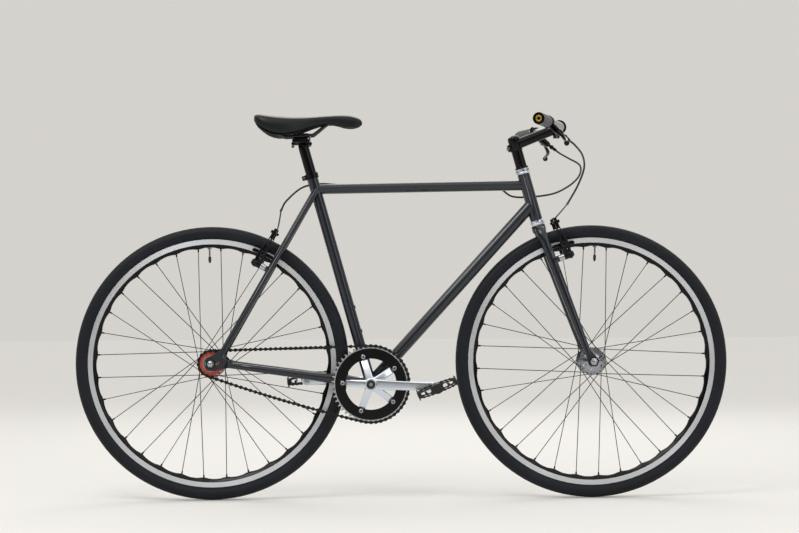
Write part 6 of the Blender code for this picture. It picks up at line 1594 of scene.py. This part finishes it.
# %% Seat collar
COLLAR = [(14.6, -8.4), (16.6, -8.4), (17.25, -7.8), (17.25, 5), (16.6, 5.6), (14.6, 5.6)]
collar = turned(COLLAR, SEAT_TOP, SEAT_UP)
middle = SEAT_TOP - SEAT_UP * 0.0014
lug = block(middle + seat_back * 0.0195, (0.012, 0.016, 0.012), SEAT_UP, seat_back, 0.0018)
carved(lug, block(middle + seat_back * 0.022, (0.020, 0.0020, 0.030), SEAT_UP, seat_back))
settle(joined([collar, lug]), "seat_collar", "black anodised aluminium", "frame", ("seat_clamp",), 35)
bolt = cross_bolt(middle + seat_back * 0.0205, ACROSS, 11, 3.6)
settle(bolt, "seat_collar_bolt", "zinc plated steel", "frame", (), 30)
print("collar width in millimetres:", 2 * COLLAR[2][0])

# %% [markdown]
# ## The saddle
# A racing saddle is a nylon shell on two steel rails, with foam on it and a thin cover that is
# stretched over the foam and glued under the edge. The cover here is a closed form, led through
# twelve sections from nose to tail, crowned across and hollow below, and then subdivided. The
# shell below and the rails are pieces of their own.

# %% The padded cover
SADDLE_LENGTH, SADDLE_HALF, NOSE_HALF = 0.276, 0.072, 0.022
NOSE_X, TOP_Z = RAIL_CLAMP.x + 0.156, RAIL_CLAMP.z + 0.066
STATIONS = (
    (0.000, NOSE_HALF * 0.34, 0.0205, 0.0085), (0.022, NOSE_HALF * 0.76, 0.0125, 0.0205),
    (0.090, NOSE_HALF * 0.98, 0.0060, 0.0315), (0.170, NOSE_HALF * 1.00, 0.0036, 0.0320),
    (0.270, NOSE_HALF * 1.12, 0.0040, 0.0245), (0.400, NOSE_HALF * 1.48, 0.0062, 0.0260),
    (0.530, SADDLE_HALF * 0.62, 0.0082, 0.0355), (0.660, SADDLE_HALF * 0.84, 0.0078, 0.0480),
    (0.780, SADDLE_HALF * 0.97, 0.0055, 0.0520), (0.880, SADDLE_HALF * 1.00, 0.0025, 0.0470),
    (0.960, SADDLE_HALF * 0.90, 0.0000, 0.0330), (1.000, SADDLE_HALF * 0.66, 0.0045, 0.0180),
)
COVER = (
    (0, 0, 0), (0.30, -0.18, 0), (0.62, -0.55, 0), (0.86, -0.5, -0.10), (0.99, 0, -0.38),
    (1.0, 0, -0.66), (0.985, 0, -0.80), (0.96, 0, -0.94), (0.84, 0, -0.97), (0.74, 0, -0.72),
    (0.66, -0.6, -0.42), (0, -0.9, -0.34),
)


def saddle_ring(share, half_width, below, skirt, section):
    """One section across the saddle, as a closed ring of points. A row of the section is a share
    of the half width, and how many crowns and skirts it lies above the top."""
    crown = 0.0035 + half_width * 0.07
    middle = Vector((NOSE_X - SADDLE_LENGTH * share, 0, TOP_Z - below))
    right = [(w, c * crown + s * skirt) for w, c, s in section]
    left = [(-w, drop) for w, drop in reversed(right[1:-1])]
    return [middle + Vector((0, -half_width * w, drop)) for w, drop in right + left]


rows = curved(STATIONS, 2)
cover = lofted([saddle_ring(*row, COVER) for row in rows])
modified(cover, "SUBSURF", levels=2, render_levels=2)
saddle_body = body_of_node["saddle"]
settle(cover, "saddle_cover_padded", "bonded leatherette", saddle_body, ("saddle",), 60)
print("saddle length in millimetres:", round(SADDLE_LENGTH * 1000))

# %% Shell and rails
SHELL = (
    (0, -0.95, -0.36), (0.62, -0.65, -0.46), (0.72, 0, -0.76), (0.84, 0, -1.01), (0.93, 0, -1.03),
    (0.95, 0, -1.00), (0.86, 0, -0.94), (0.76, 0, -0.70), (0.66, -0.6, -0.40), (0, -0.9, -0.32),
)
RAIL_Y, RAIL_RADIUS = 0.022, 0.0035
RAIL = (
    (-0.079, 0.0250, 1.25), (-0.066, 0.0135, 1.22), (-0.045, 0.0015, 1.05), (-0.030, 0.0, 1.0),
    (0.024, 0.0035, 1.0), (0.036, 0.0080, 0.92), (0.062, 0.0285, 0.55), (0.078, 0.0380, 0.40),
)
shell = lofted([saddle_ring(*row, SHELL) for row in rows if 0.02 < row[0] < 0.985])
settle(shell, "saddle_shell", "moulded black plastic", saddle_body, (), 40)
rails = []
for side, hand in SIDES:
    line = [RAIL_CLAMP + Vector((x, side * RAIL_Y * share, 0.006 + z)) for x, z, share in RAIL]
    rails.append(round_bar(curved(line, 5), RAIL_RADIUS, 20))
rail_body = body_of_node["saddle_rails"]
settle(joined(rails), "saddle_rail_pair", "black steel rail", rail_body, ("saddle_rails",), 40)
solids_left = [node for node, piece in frame["nodes"].items() if not piece.hide_render]
print("solids that no finer piece stands for:", solids_left)
